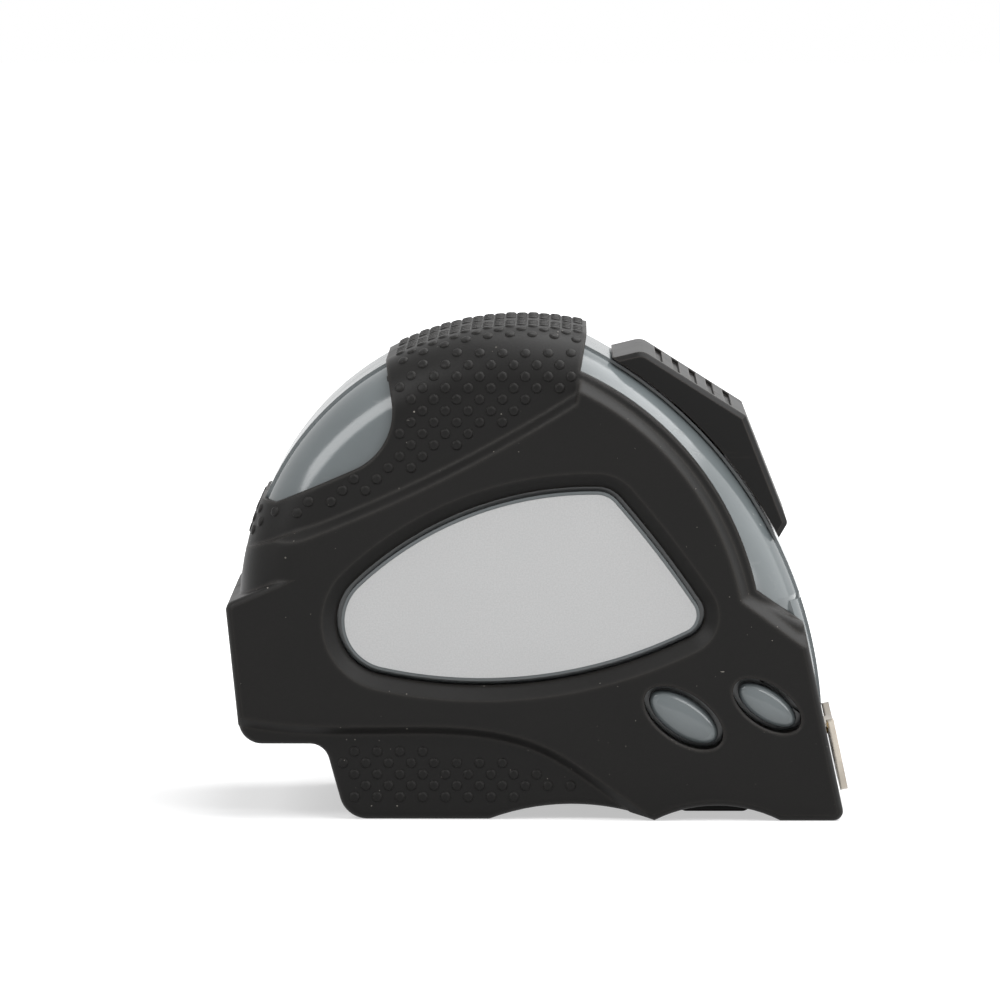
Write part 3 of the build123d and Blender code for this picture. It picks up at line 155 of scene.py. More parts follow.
class SurfaceGroups:
    """Shader node groups that several finishes share, each built once."""

    GRAIN_DETAIL = 3.0
    CLOUD_DETAIL = 4.0
    CLOUD_LOW, CLOUD_HIGH = 0.3, 0.7
    WOBBLE_SCALE = 5200.0
    WOBBLE_REACH = 0.16 * MM
    PATCH_SCALE = 60.0
    PATCH_LOW, PATCH_HIGH = 0.4, 0.65
    PATCH_LEAST = 0.25
    SIZE_POWER = 1.8
    FAINT, CLEAR = 0.12, 0.9
    SCRATCH_STRETCH = (0.12, 1.0, 1.0)
    SCRATCH_DETAIL = 6.0
    SCRATCH_LOW, SCRATCH_HIGH = 0.62, 0.72

    _made: dict[str, bpy.types.NodeTree] = {}

    @classmethod
    def _start(cls, name: str, inputs: dict[str, object], outputs: list[str]) -> tuple[Graph, object, object]:
        """Make an empty group with its sockets.

        Args:
            name: The group's name.
            inputs: Names of the inputs with their defaults, None for a vector.
            outputs: Names of the outputs.

        Returns:
            The group's graph, its input node and its output node.
        """
        tree = bpy.data.node_groups.new(name, "ShaderNodeTree")
        for title, value in inputs.items():
            kind = "NodeSocketVector" if value is None else "NodeSocketFloat"
            socket = tree.interface.new_socket(title, in_out="INPUT", socket_type=kind)
            if value is not None:
                socket.default_value = value
        for title in outputs:
            tree.interface.new_socket(title, in_out="OUTPUT", socket_type="NodeSocketFloat")
        graph = Graph(tree)
        cls._made[name] = tree
        return graph, graph.add("NodeGroupInput"), graph.add("NodeGroupOutput")

    @classmethod
    def grain(cls) -> bpy.types.NodeTree:
        """Moulded grain: a fine height, and a slow tone that clouds the surface.

        Returns:
            The node group.
        """
        if "moulded_grain" in cls._made:
            return cls._made["moulded_grain"]
        graph, given, result = cls._start(
            "moulded_grain", {"Vector": None, "Grain": 3000.0, "Cloud": 90.0}, ["Height", "Tone"]
        )
        fine = graph.add("ShaderNodeTexNoise")
        slow = graph.add("ShaderNodeTexNoise")
        for node, scale, detail in ((fine, "Grain", cls.GRAIN_DETAIL), (slow, "Cloud", cls.CLOUD_DETAIL)):
            graph.join(given.outputs["Vector"], node.inputs["Vector"])
            graph.join(given.outputs[scale], node.inputs["Scale"])
            node.inputs["Detail"].default_value = detail
        graph.join(fine.outputs["Fac"], result.inputs["Height"])
        tone = graph.span(slow.outputs["Fac"], cls.CLOUD_LOW, cls.CLOUD_HIGH, 0.0, 1.0)
        graph.join(tone, result.inputs["Tone"])
        return cls._made["moulded_grain"]

    @classmethod
    def specks(cls) -> bpy.types.NodeTree:
        """Lint and dust: sparse small specks of uneven size.

        Returns:
            The node group.
        """
        if "dust_specks" in cls._made:
            return cls._made["dust_specks"]
        graph, given, result = cls._start(
            "dust_specks", {"Vector": None, "Scale": 900.0, "Size": 0.11, "Share": 0.8}, ["Mask"]
        )
        wobble = graph.add("ShaderNodeTexNoise")
        graph.join(given.outputs["Vector"], wobble.inputs["Vector"])
        wobble.inputs["Scale"].default_value = cls.WOBBLE_SCALE
        shift = graph.add("ShaderNodeVectorMath", operation="SCALE")
        graph.join(wobble.outputs["Color"], shift.inputs[0])
        shift.inputs["Scale"].default_value = cls.WOBBLE_REACH
        bent = graph.add("ShaderNodeVectorMath", operation="ADD")
        graph.join(given.outputs["Vector"], bent.inputs[0])
        graph.join(shift.outputs[0], bent.inputs[1])
        cells = graph.add("ShaderNodeTexVoronoi")
        graph.join(bent.outputs[0], cells.inputs["Vector"])
        graph.join(given.outputs["Scale"], cells.inputs["Scale"])
        pick = graph.add("ShaderNodeSeparateColor")
        graph.join(cells.outputs["Color"], pick.inputs[0])
        patches = graph.add("ShaderNodeTexNoise")
        graph.join(given.outputs["Vector"], patches.inputs["Vector"])
        patches.inputs["Scale"].default_value = cls.PATCH_SCALE
        shrunk = graph.math("POWER", pick.outputs[1], cls.SIZE_POWER)
        size = graph.math("MULTIPLY", given.outputs["Size"], shrunk)
        inside = graph.math("LESS_THAN", cells.outputs["Distance"], size)
        patch = graph.span(patches.outputs["Fac"], cls.PATCH_LOW, cls.PATCH_HIGH, cls.PATCH_LEAST, 1.0)
        often = graph.math("MULTIPLY", given.outputs["Share"], patch)
        chosen = graph.math("LESS_THAN", pick.outputs[0], often)
        strength = graph.span(pick.outputs[2], 0.0, 1.0, cls.FAINT, cls.CLEAR)
        speck = graph.math("MULTIPLY", graph.math("MULTIPLY", inside, chosen), strength)
        graph.join(speck, result.inputs["Mask"])
        return cls._made["dust_specks"]

    @classmethod
    def parting(cls) -> bpy.types.NodeTree:
        """Parting line: a fine line where the two halves of the case meet.

        Returns:
            The node group.
        """
        if "parting_line" in cls._made:
            return cls._made["parting_line"]
        graph, given, result = cls._start("parting_line", {"Vector": None, "Width": 0.09 * MM}, ["Mask"])
        axes = graph.add("ShaderNodeSeparateXYZ")
        graph.join(given.outputs["Vector"], axes.inputs[0])
        away = graph.math("ABSOLUTE", graph.math("SUBTRACT", axes.outputs[1], SEAM_Y))
        graph.join(graph.math("LESS_THAN", away, given.outputs["Width"]), result.inputs["Mask"])
        return cls._made["parting_line"]

    @classmethod
    def scratches(cls) -> bpy.types.NodeTree:
        """Hairline scratches: thin broken lines along one direction of the given vector.

        Returns:
            The node group.
        """
        if "hairlines" in cls._made:
            return cls._made["hairlines"]
        graph, given, result = cls._start("hairlines", {"Vector": None, "Scale": 500.0}, ["Mask"])
        stretch = graph.add("ShaderNodeMapping")
        stretch.inputs["Scale"].default_value = cls.SCRATCH_STRETCH
        graph.join(given.outputs["Vector"], stretch.inputs["Vector"])
        lines = graph.add("ShaderNodeTexNoise")
        graph.join(stretch.outputs[0], lines.inputs["Vector"])
        graph.join(given.outputs["Scale"], lines.inputs["Scale"])
        lines.inputs["Detail"].default_value = cls.SCRATCH_DETAIL
        mask = graph.span(lines.outputs["Fac"], cls.SCRATCH_LOW, cls.SCRATCH_HIGH, 0.0, 1.0)
        graph.join(mask, result.inputs["Mask"])
        return cls._made["hairlines"]


@dataclass(frozen=True)
class Finish:
    """What every finish has: a colour, a gloss and softly broken edges."""

    FACING_FROM, FACING_TO = 0.6, 0.95
    DUST_SIZE, FIBRE_SIZE = 0.11, 0.055
    FIBRE_SHARE = 0.15
    FIBRE_TURN = (0.3, 0.7, 0.2)
    FIBRE_STRETCH = (0.22, 1.0, 1.0)
    BEVEL_SAMPLES = 6
    EDGE_FROM, EDGE_TO = 0.998, 0.9

    name: str
    slot: str
    colour: Colour
    roughness: float
    edge: float = 0.25 * MM
    grain: float = 3000.0
    grain_depth: float = 0.0
    specular: float = 0.5
    cloud: float = 90.0
    grazing: float = 1.0

    def begin(self) -> tuple[bpy.types.Material, Graph, bpy.types.Node, Socket]:
        """Start the material with its shader, its gloss and its surface coordinates.

        Returns:
            The material, its graph, the shader and the coordinates' socket.
        """
        material = bpy.data.materials.new(self.name)
        material.use_nodes = True
        graph = Graph(material.node_tree)
        shader = material.node_tree.nodes["Principled BSDF"]
        shader.inputs["Base Color"].default_value = (*self.colour, 1.0)
        shader.inputs["Roughness"].default_value = self.roughness
        facing = graph.add("ShaderNodeLayerWeight").outputs["Facing"]
        dulled = self.grazing * self.specular
        gloss = graph.span(facing, self.FACING_FROM, self.FACING_TO, self.specular, dulled)
        graph.join(gloss, shader.inputs["Specular IOR Level"])
        return material, graph, shader, graph.add("ShaderNodeTexCoord").outputs["Object"]

    def clouds(self, graph: Graph, vector: Socket) -> bpy.types.Node:
        """Place the grain group.

        Args:
            graph: The material's graph.
            vector: The coordinates' socket.

        Returns:
            The group node, with its Height and Tone.
        """
        node = graph.add("ShaderNodeGroup", node_tree=SurfaceGroups.grain())
        graph.join(vector, node.inputs["Vector"])
        node.inputs["Grain"].default_value = self.grain
        node.inputs["Cloud"].default_value = self.cloud
        return node

    def dust(self, graph: Graph, vector: Socket, share: float) -> Socket:
        """Place the speck group twice, for round dust and for short fibres.

        Args:
            graph: The material's graph.
            vector: The coordinates' socket.
            share: How many of the cells hold a speck.

        Returns:
            The mask of both.
        """
        stretch = graph.add("ShaderNodeMapping")
        stretch.inputs["Rotation"].default_value = self.FIBRE_TURN
        stretch.inputs["Scale"].default_value = self.FIBRE_STRETCH
        graph.join(vector, stretch.inputs["Vector"])
        masks = []
        for source, part, size in (
            (vector, share, self.DUST_SIZE),
            (stretch.outputs[0], self.FIBRE_SHARE * share, self.FIBRE_SIZE),
        ):
            node = graph.add("ShaderNodeGroup", node_tree=SurfaceGroups.specks())
            graph.join(source, node.inputs["Vector"])
            node.inputs["Share"].default_value = part
            node.inputs["Size"].default_value = size
            masks.append(node.outputs["Mask"])
        return graph.math("MAXIMUM", masks[0], masks[1])

    def parting(self, graph: Graph, vector: Socket) -> Socket:
        """Place the parting-line group.

        Args:
            graph: The material's graph.
            vector: The coordinates' socket.

        Returns:
            The line's mask.
        """
        node = graph.add("ShaderNodeGroup", node_tree=SurfaceGroups.parting())
        graph.join(vector, node.inputs["Vector"])
        return node.outputs["Mask"]

    def soften(self, graph: Graph, shader: bpy.types.Node, height: object) -> Socket:
        """Round the edges in the shading and lay the grain over them.

        Args:
            graph: The material's graph.
            shader: The shader that takes the normal.
            height: The grain's height.

        Returns:
            A mask of the rounded edges.
        """
        rounding = graph.add("ShaderNodeBevel", samples=self.BEVEL_SAMPLES)
        rounding.inputs["Radius"].default_value = self.edge
        bump = graph.add("ShaderNodeBump")
        bump.inputs["Strength"].default_value = 1.0
        bump.inputs["Distance"].default_value = self.grain_depth
        graph.join(height, bump.inputs["Height"])
        graph.join(rounding.outputs[0], bump.inputs["Normal"])
        graph.join(bump.outputs[0], shader.inputs["Normal"])
        flat = graph.add("ShaderNodeNewGeometry")
        turn = graph.add("ShaderNodeVectorMath", operation="DOT_PRODUCT")
        graph.join(rounding.outputs[0], turn.inputs[0])
        graph.join(flat.outputs["Normal"], turn.inputs[1])
        return graph.span(turn.outputs["Value"], self.EDGE_FROM, self.EDGE_TO, 0.0, 1.0)


@dataclass(frozen=True)
class Rubber(Finish):
    """Soft black overmould: matte, faintly clouded, with pale specks and rubbed edges."""

    DARKER = 0.72
    RUBBED_SHARE = 0.5
    ROUGH_SPREAD = 0.05
    SEAM_ROUGH = 0.4

    rubbed: Colour = (0.045, 0.041, 0.037)
    lint: Colour = (0.30, 0.28, 0.25)
    lint_share: float = 0.7
    seam: Colour = (0.001, 0.001, 0.001)

    def make(self) -> bpy.types.Material:
        """Build the material.

        Returns:
            The new material.
        """
        material, graph, shader, vector = self.begin()
        clouds = self.clouds(graph, vector)
        edges = self.soften(graph, shader, clouds.outputs["Height"])
        darker = tuple(self.DARKER * part for part in self.colour)
        tint = graph.blend(clouds.outputs["Tone"], darker, self.colour)
        tint = graph.blend(graph.math("MULTIPLY", edges, self.RUBBED_SHARE), tint, self.rubbed)
        tint = graph.blend(self.dust(graph, vector, self.lint_share), tint, self.lint)
        line = self.parting(graph, vector)
        graph.join(graph.blend(line, tint, self.seam), shader.inputs["Base Color"])
        smooth, matte = self.roughness - self.ROUGH_SPREAD, self.roughness + self.ROUGH_SPREAD
        rough = graph.span(clouds.outputs["Tone"], 0.0, 1.0, smooth, matte)
        seam = graph.math("MULTIPLY", line, self.SEAM_ROUGH)
        graph.join(graph.math("ADD", rough, seam, clamp=True), shader.inputs["Roughness"])
        return material


@dataclass(frozen=True)
class Moulding(Finish):
    """Hard moulded plastic: even colour, a skin of gloss, hairline scratches, and lighter edges that are
    scuffs and a painted highlight.
    """

    DARKER = 0.9
    SEAM_SHARE = 0.2
    SCRATCH_ROUGH = 0.12
    GLOSSIER, DULLER = 0.02, 0.03

    scuffed: Colour = (0.3, 0.3, 0.3)
    scuffs: float = 0.25
    scratched: float = 0.2
    halves: bool = False

    def make(self) -> bpy.types.Material:
        """Build the material.

        Returns:
            The new material.
        """
        material, graph, shader, vector = self.begin()
        clouds = self.clouds(graph, vector)
        edges = self.soften(graph, shader, clouds.outputs["Height"])
        lines = graph.add("ShaderNodeGroup", node_tree=SurfaceGroups.scratches())
        graph.join(vector, lines.inputs["Vector"])
        darker = tuple(self.DARKER * part for part in self.colour)
        tint = graph.blend(clouds.outputs["Tone"], darker, self.colour)
        scratches = graph.math("MULTIPLY", lines.outputs["Mask"], self.scratched)
        # lighter edges: scuffs, and on the lock a painted highlight where its chamfers catch the light
        wear_and_edge_highlight = graph.math("MAXIMUM", graph.math("MULTIPLY", edges, self.scuffs), scratches)
        tint = graph.blend(wear_and_edge_highlight, tint, self.scuffed)
        if self.halves:
            seam = tuple(self.SEAM_SHARE * part for part in self.colour)
            tint = graph.blend(self.parting(graph, vector), tint, seam)
        graph.join(tint, shader.inputs["Base Color"])
        worn = graph.math("MULTIPLY", lines.outputs["Mask"], self.SCRATCH_ROUGH)
        smooth, matte = self.roughness - self.GLOSSIER, self.roughness + self.DULLER
        rough = graph.span(clouds.outputs["Tone"], 0.0, 1.0, smooth, matte)
        graph.join(graph.math("ADD", rough, worn, clamp=True), shader.inputs["Roughness"])
        return material


@dataclass(frozen=True)
class Foil(Finish):
    """Silver label stock: a fine metal-flake speckle under a satin film."""

    FLAKE_LOW, FLAKE_HIGH = 0.35, 0.65
    VEIL = 0.25
    METAL_SHARE = 0.15

    flake: Colour = (0.472, 0.473, 0.472)

    def make(self) -> bpy.types.Material:
        """Build the material.

        Returns:
            The new material.
        """
        material, graph, shader, vector = self.begin()
        clouds = self.clouds(graph, vector)
        self.soften(graph, shader, clouds.outputs["Height"])
        mask = graph.span(clouds.outputs["Height"], self.FLAKE_LOW, self.FLAKE_HIGH, 0.0, 1.0)
        tint = graph.blend(mask, self.colour, self.flake)
        tint = graph.blend(graph.math("MULTIPLY", clouds.outputs["Tone"], self.VEIL), tint, self.colour)
        graph.join(tint, shader.inputs["Base Color"])
        shader.inputs["Metallic"].default_value = self.METAL_SHARE
        return material


@dataclass(frozen=True)
class Metal(Finish):
    """Plated or bare steel with drawn hairlines, and darker clouds that are stains and painted dark
    reflections.
    """

    HAIRLINE_SCALE = 900.0
    HAIRLINE_ROUGH = 0.15

    stain: Colour = (0.3, 0.28, 0.25)
    stained: float = 0.2

    def make(self) -> bpy.types.Material:
        """Build the material.

        Returns:
            The new material.
        """
        material, graph, shader, vector = self.begin()
        clouds = self.clouds(graph, vector)
        self.soften(graph, shader, clouds.outputs["Height"])
        lines = graph.add("ShaderNodeGroup", node_tree=SurfaceGroups.scratches())
        graph.join(vector, lines.inputs["Vector"])
        lines.inputs["Scale"].default_value = self.HAIRLINE_SCALE
        # darker clouds: stains, and on the hook painted dark reflections between its glints
        stain_and_reflection = graph.math("MULTIPLY", clouds.outputs["Tone"], self.stained)
        graph.join(graph.blend(stain_and_reflection, self.colour, self.stain), shader.inputs["Base Color"])
        rough = graph.math("MULTIPLY", lines.outputs["Mask"], self.HAIRLINE_ROUGH)
        graph.join(graph.math("ADD", rough, self.roughness), shader.inputs["Roughness"])
        shader.inputs["Metallic"].default_value = 1.0
        return material


@dataclass(frozen=True)
class PrintedBlade(Finish):
    """Lacquered tape with millimetre graduations along both edges."""

    DARKER = 0.85
    SHORT_PITCH, LONG_PITCH = 1.0, 10.0

    ink: Colour = (0.012, 0.012, 0.012)
    zero_x: float = 37.8 * MM
    rise_degrees: float = 4.0
    half_width: float = 12.5 * MM
    short_tick: float = 3.2 * MM
    long_tick: float = 6.4 * MM
    line: float = 0.16

    def make(self) -> bpy.types.Material:
        """Build the material.

        Returns:
            The new material.
        """
        material, graph, shader, vector = self.begin()
        clouds = self.clouds(graph, vector)
        self.soften(graph, shader, clouds.outputs["Height"])
        level = graph.add("ShaderNodeMapping")
        level.inputs["Rotation"].default_value = (0.0, math.radians(self.rise_degrees), 0.0)
        graph.join(vector, level.inputs["Vector"])
        axes = graph.add("ShaderNodeSeparateXYZ")
        graph.join(level.outputs[0], axes.inputs[0])
        along = graph.math("DIVIDE", graph.math("SUBTRACT", self.zero_x, axes.outputs[0]), MM)
        across = graph.math("ABSOLUTE", graph.math("SUBTRACT", axes.outputs[1], SEAM_Y))
        from_edge = graph.math("SUBTRACT", self.half_width, across)
        ticks = []
        for pitch, reach in ((self.SHORT_PITCH, self.short_tick), (self.LONG_PITCH, self.long_tick)):
            phase = graph.math("FRACT", graph.math("DIVIDE", along, pitch))
            thin = graph.math("LESS_THAN", phase, self.line / pitch)
            ticks.append(graph.math("MULTIPLY", thin, graph.math("LESS_THAN", from_edge, reach)))
        marks = graph.math("MAXIMUM", ticks[0], ticks[1])
        darker = tuple(self.DARKER * part for part in self.colour)
        tint = graph.blend(clouds.outputs["Tone"], darker, self.colour)
        graph.join(graph.blend(marks, tint, self.ink), shader.inputs["Base Color"])
        return material


class Palette(Enum):
    """The finishes of this tape measure."""

    JACKET = Rubber(
        "jacket_rubber", "soft_black", (0.0056, 0.0052, 0.0048), 0.42, 0.9 * MM, 3400.0, 0.012 * MM, 0.17,
        grazing=0.6,
    )
    STUD = Rubber(
        "stud_rubber", "soft_black", (0.0056, 0.0052, 0.0048), 0.42, 0.4 * MM, 3400.0, 0.012 * MM, 0.17
    )
    PAD = Rubber("pad_rubber", "soft_black", (0.015, 0.0145, 0.014), 0.7, 0.1 * MM, 3000.0, 0.02 * MM, 0.25)
    SHELL = Moulding(
        "shell_gloss", "grey_shell", (0.127, 0.144, 0.149), 0.15, 0.02 * MM, 1500.0, 0.002 * MM,
        scuffed=(0.34, 0.34, 0.33), scuffs=0.2, scratched=0.1, grazing=0.15, halves=True,
    )
    # the lighter edge colour paints the highlight that the lock's chamfers catch, over real scuffs
    NYLON = Moulding(
        "lock_nylon", "black_plastic", (0.0062, 0.006, 0.0058), 0.36, 0.35 * MM, 4000.0, 0.005 * MM, 0.14,
        scuffed=(0.10, 0.088, 0.08), scuffs=0.45, scratched=0.08,
    )
    ACETAL = Moulding(
        "natural_acetal", "white_plastic", (0.60, 0.59, 0.54), 0.4, 0.2 * MM, 3000.0, 0.004 * MM
    )
    FOIL = Foil("label_foil", "label_silver", (0.415, 0.416, 0.416), 0.4, 0.08 * MM, 5200.0, 0.002 * MM)
    # the strong dark clouds paint the hook's dark reflections as well as its stains
    NICKEL = Metal(
        "hook_nickel", "nickel", (0.46, 0.42, 0.365), 0.14, 0.5 * MM, 2500.0, 0.003 * MM,
        cloud=150.0, stain=(0.12, 0.10, 0.08), stained=0.45,
    )
    ZINC = Metal("zinc_steel", "steel", (0.44, 0.44, 0.43), 0.34, 0.2 * MM, 2500.0, 0.004 * MM)
    BLUED = Metal("spring_strip", "spring_steel", (0.20, 0.23, 0.30), 0.22, 0.05 * MM, 2500.0, 0.003 * MM)
    # painted shade: this dark finish stands in for the shade inside the screws' cross recesses
    SOCKET = Rubber("recess_shade", "steel", (0.012, 0.012, 0.013), 0.5, 0.02 * MM, 2500.0, 0.001 * MM)
    INK = Rubber("blade_ink", "blade_yellow", (0.011, 0.011, 0.011), 0.3, 0.02 * MM, 2500.0, 0.001 * MM)
    BLADE = PrintedBlade(
        "blade_print", "blade_yellow", (0.70, 0.42, 0.02), 0.28, 0.03 * MM, 2500.0, 0.002 * MM
    )

    def material(self) -> bpy.types.Material:
        """Find the finish's material, built the first time that it is asked for.

        Returns:
            The material.
        """
        return bpy.data.materials.get(self.value.name) or self.value.make()


def dress(node: str, finish: Palette) -> None:
    """Give a carried-over solid its finish.

    Args:
        node: The solid's name.
        finish: The finish to show.
    """
    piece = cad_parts[node]
    piece.data.materials.clear()
    piece.data.materials.append(finish.material())
    LOG.info("dressed %s in %s", node, finish.value.name)


def make_piece(shape: bmesh.types.BMesh, name: str, finish: Palette, body: Body) -> None:
    """Turn a finished shape into a piece that rides on a body.

    Args:
        shape: The shape, in the frame, in metres; it is freed.
        name: The piece's name.
        finish: The finish to show.
        body: The body that carries it.
    """
    mesh = bpy.data.meshes.new(name)
    shape.to_mesh(mesh)
    shape.free()
    for polygon in mesh.polygons:
        polygon.use_smooth = True
    piece = bpy.data.objects.new(name, mesh)
    bpy.context.scene.collection.objects.link(piece)
    mesh.materials.append(finish.material())
    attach(piece, body.value)
    LOG.info("built %s with %d faces", name, len(mesh.polygons))


@dataclass
class Edge:
    """A line of the side view that splits the band from a grip, as heights at places along X."""

    points: list[Point]

    def height(self, x: float) -> float:
        """The line's height at a place along X.

        Args:
            x: The place, in millimetres.

        Returns:
            The height in millimetres, held at the ends.
        """
        for (x0, z0), (x1, z1) in zip(self.points, self.points[1:]):
            if x0 <= x <= x1:
                return z0 + (z1 - z0) * (x - x0) / (x1 - x0)
        return self.points[0][1] if x < self.points[0][0] else self.points[-1][1]


@dataclass
class Jacket:
    """The soft overmould: both halves and the rows of studs on its grips."""

    pitch: float = 2.9
    row: float = 1.45
    rows: range = range(-2, 46)
    columns: range = range(-16, 18)
    stud_radius: float = 0.68
    stud_sides: int = 12
    stud_steps: tuple[Point, ...] = ((0.05, 0.10), (0.10, 0.07), (0.16, 0.03))
    stud_sunk: float = 0.12
    clear: float = 0.45
    edge_clear: float = 1.6
    probe: float = 1.0
    ring_points: int = 8
    ring_unevenness: float = 0.16
    lowest: float = 1.7
    side_turn: float = 0.62
    outside: float = 40.0
    wheel_outside: float = 60.0
    wheel: Point = (-2.0, 26.6)
    wheel_radius: float = 36.0
    wheel_inside: float = 33.0
    reach: float = 19.6
    reach_slack: float = 0.01
    upper: Edge = field(
        default_factory=lambda: Edge([(-46.0, 31.7), (-31.0, 36.5), (-17.0, 42.4), (-6.0, 47.9), (5.3, 54.6)])
    )
    lower: Edge = field(
        default_factory=lambda: Edge([(-46.0, 15.2), (-17.0, 10.9), (0.6, 8.4), (8.2, 3.6), (14.2, -0.6)])
    )

    def on_grip(self, x: float, z: float) -> bool:
        """Whether a place of the side view lies on a grip and not on the smooth band.

        Args:
            x: Place along X, in millimetres.
            z: Height, in millimetres.

        Returns:
            True on the upper or the lower grip.
        """
        above = z > self.upper.height(x) + self.edge_clear
        return above or z < self.lower.height(x) - self.edge_clear

    def flat_here(self, tree: BVHTree, spot: Vector, normal: Vector) -> bool:
        """Whether the surface runs on smoothly all round a stud's place.

        Args:
            tree: The surface to test.
            spot: The stud's place.
            normal: The surface's direction there.

        Returns:
            True where a ring of points round the stud meets the same surface.
        """
        side = normal.orthogonal().normalized()
        other = normal.cross(side)
        reach = (self.stud_radius + self.clear) * MM
        lift = self.probe * MM
        for turn in range(self.ring_points):
            angle = math.tau * turn / self.ring_points
            start = spot + reach * (math.cos(angle) * side + math.sin(angle) * other) + normal * lift
            met, _, _, depth = tree.ray_cast(start, -normal, 2 * lift)
            if met is None or abs(depth - lift) > self.ring_unevenness * MM:
                return False
        return True

    def places(self, tree: BVHTree, side: Side) -> list[tuple[Vector, Vector]]:
        """Find where the studs of one half stand.

        Args:
            tree: The half's surface.
            side: Which half it is.

        Returns:
            The studs' places and the surface's directions there.
        """
        found = self.side_places(tree, side)
        axis = Vector((self.wheel[0] * MM, 0, self.wheel[1] * MM))
        step = self.pitch / self.wheel_radius
        for column in range(int(self.reach / self.row)):
            y = SEAM_Y + side.value * (column + 0.5) * self.row * MM
            for turn in range(int(math.tau / step)):
                angle = (turn + 0.5 * (column % 2)) * step
                ray = Vector((math.cos(angle), 0, math.sin(angle)))
                start = axis + ray * self.wheel_outside * MM
                spot, normal, *_ = tree.ray_cast(Vector((start.x, y, start.z)), -ray)
                if spot is None or abs(normal.y) >= self.side_turn:
                    continue
                if spot.z < self.upper.height(spot.x / MM) * MM + self.edge_clear * MM:
                    continue
                inside = math.hypot(spot.x - axis.x, spot.z - axis.z) < self.wheel_inside * MM
                crowded = any((spot - other).length < 2.0 * self.stud_radius * MM for other, _ in found)
                if not inside and not crowded and self.flat_here(tree, spot, normal):
                    found.append((spot, normal))
        return found

    def side_places(self, tree: BVHTree, side: Side) -> list[tuple[Vector, Vector]]:
        """Find where the studs on the flank of one half stand.

        Args:
            tree: The half's surface.
            side: Which half it is.

        Returns:
            The studs' places and the surface's directions there.
        """
        found = []
        for row in self.rows:
            for column in self.columns:
                x = (column + 0.5 * (row % 2)) * self.pitch
                z = row * self.row
                start = Vector((x * MM, side.value * self.outside * MM, z * MM))
                spot, normal, *_ = tree.ray_cast(start, Vector((0, -side.value, 0)))
                if spot is None or abs(normal.y) < self.side_turn or not self.on_grip(x, z):
                    continue
                if abs(spot.y - SEAM_Y) > (self.reach + self.reach_slack) * MM:
                    continue
                if z > self.lowest and self.flat_here(tree, spot, normal):
                    found.append((spot, normal))
        return found

    def stud(self) -> bpy.types.Mesh:
        """Build one stud, a low round button on the plane Z = 0.

        Returns:
            The stud's mesh, in metres.
        """
        shape = bmesh.new()
        bmesh.ops.create_circle(shape, cap_ends=True, segments=self.stud_sides, radius=self.stud_radius * MM)
        bmesh.ops.translate(shape, verts=shape.verts[:], vec=(0.0, 0.0, -self.stud_sunk * MM))
        top = shape.faces[:]
        bmesh.ops.recalc_face_normals(shape, faces=top)
        if top[0].normal.z < 0:
            bmesh.ops.reverse_faces(shape, faces=top)
        for inward, rise in ((0.0, self.stud_sunk), *self.stud_steps):
            bmesh.ops.inset_individual(
                shape, faces=top, thickness=inward * MM, depth=rise * MM, use_even_offset=True
            )
        mesh = bpy.data.meshes.new("grip_stud")
        shape.to_mesh(mesh)
        shape.free()
        return mesh

    def studs(self, node: str, side: Side) -> bmesh.types.BMesh:
        """Stamp one half's studs over its grips.

        Args:
            node: The half's solid.
            side: Which half it is.

        Returns:
            The studs in one shape.
        """
        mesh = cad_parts[node].data
        tree = BVHTree.FromPolygons([v.co for v in mesh.vertices], [p.vertices for p in mesh.polygons])
        shape = bmesh.new()
        stud = self.stud()
        for spot, normal in self.places(tree, side):
            turn = normal.to_track_quat("Z", "Y").to_matrix().to_4x4()
            shape.from_mesh(stud)
            new = shape.verts[-len(stud.vertices):]
            bmesh.ops.transform(shape, matrix=Matrix.Translation(spot) @ turn, verts=new)
        bpy.data.meshes.remove(stud)
        return shape

    def build(self) -> None:
        """Dress both halves and stud their grips."""
        for node, name, side in (
            ("right_overmould", "right_grip_studs", Side.LABEL),
            ("left_overmould", "left_grip_studs", Side.CLIP),
        ):
            dress(node, Palette.JACKET)
            make_piece(self.studs(node, side), name, Palette.STUD, Body.CASE)


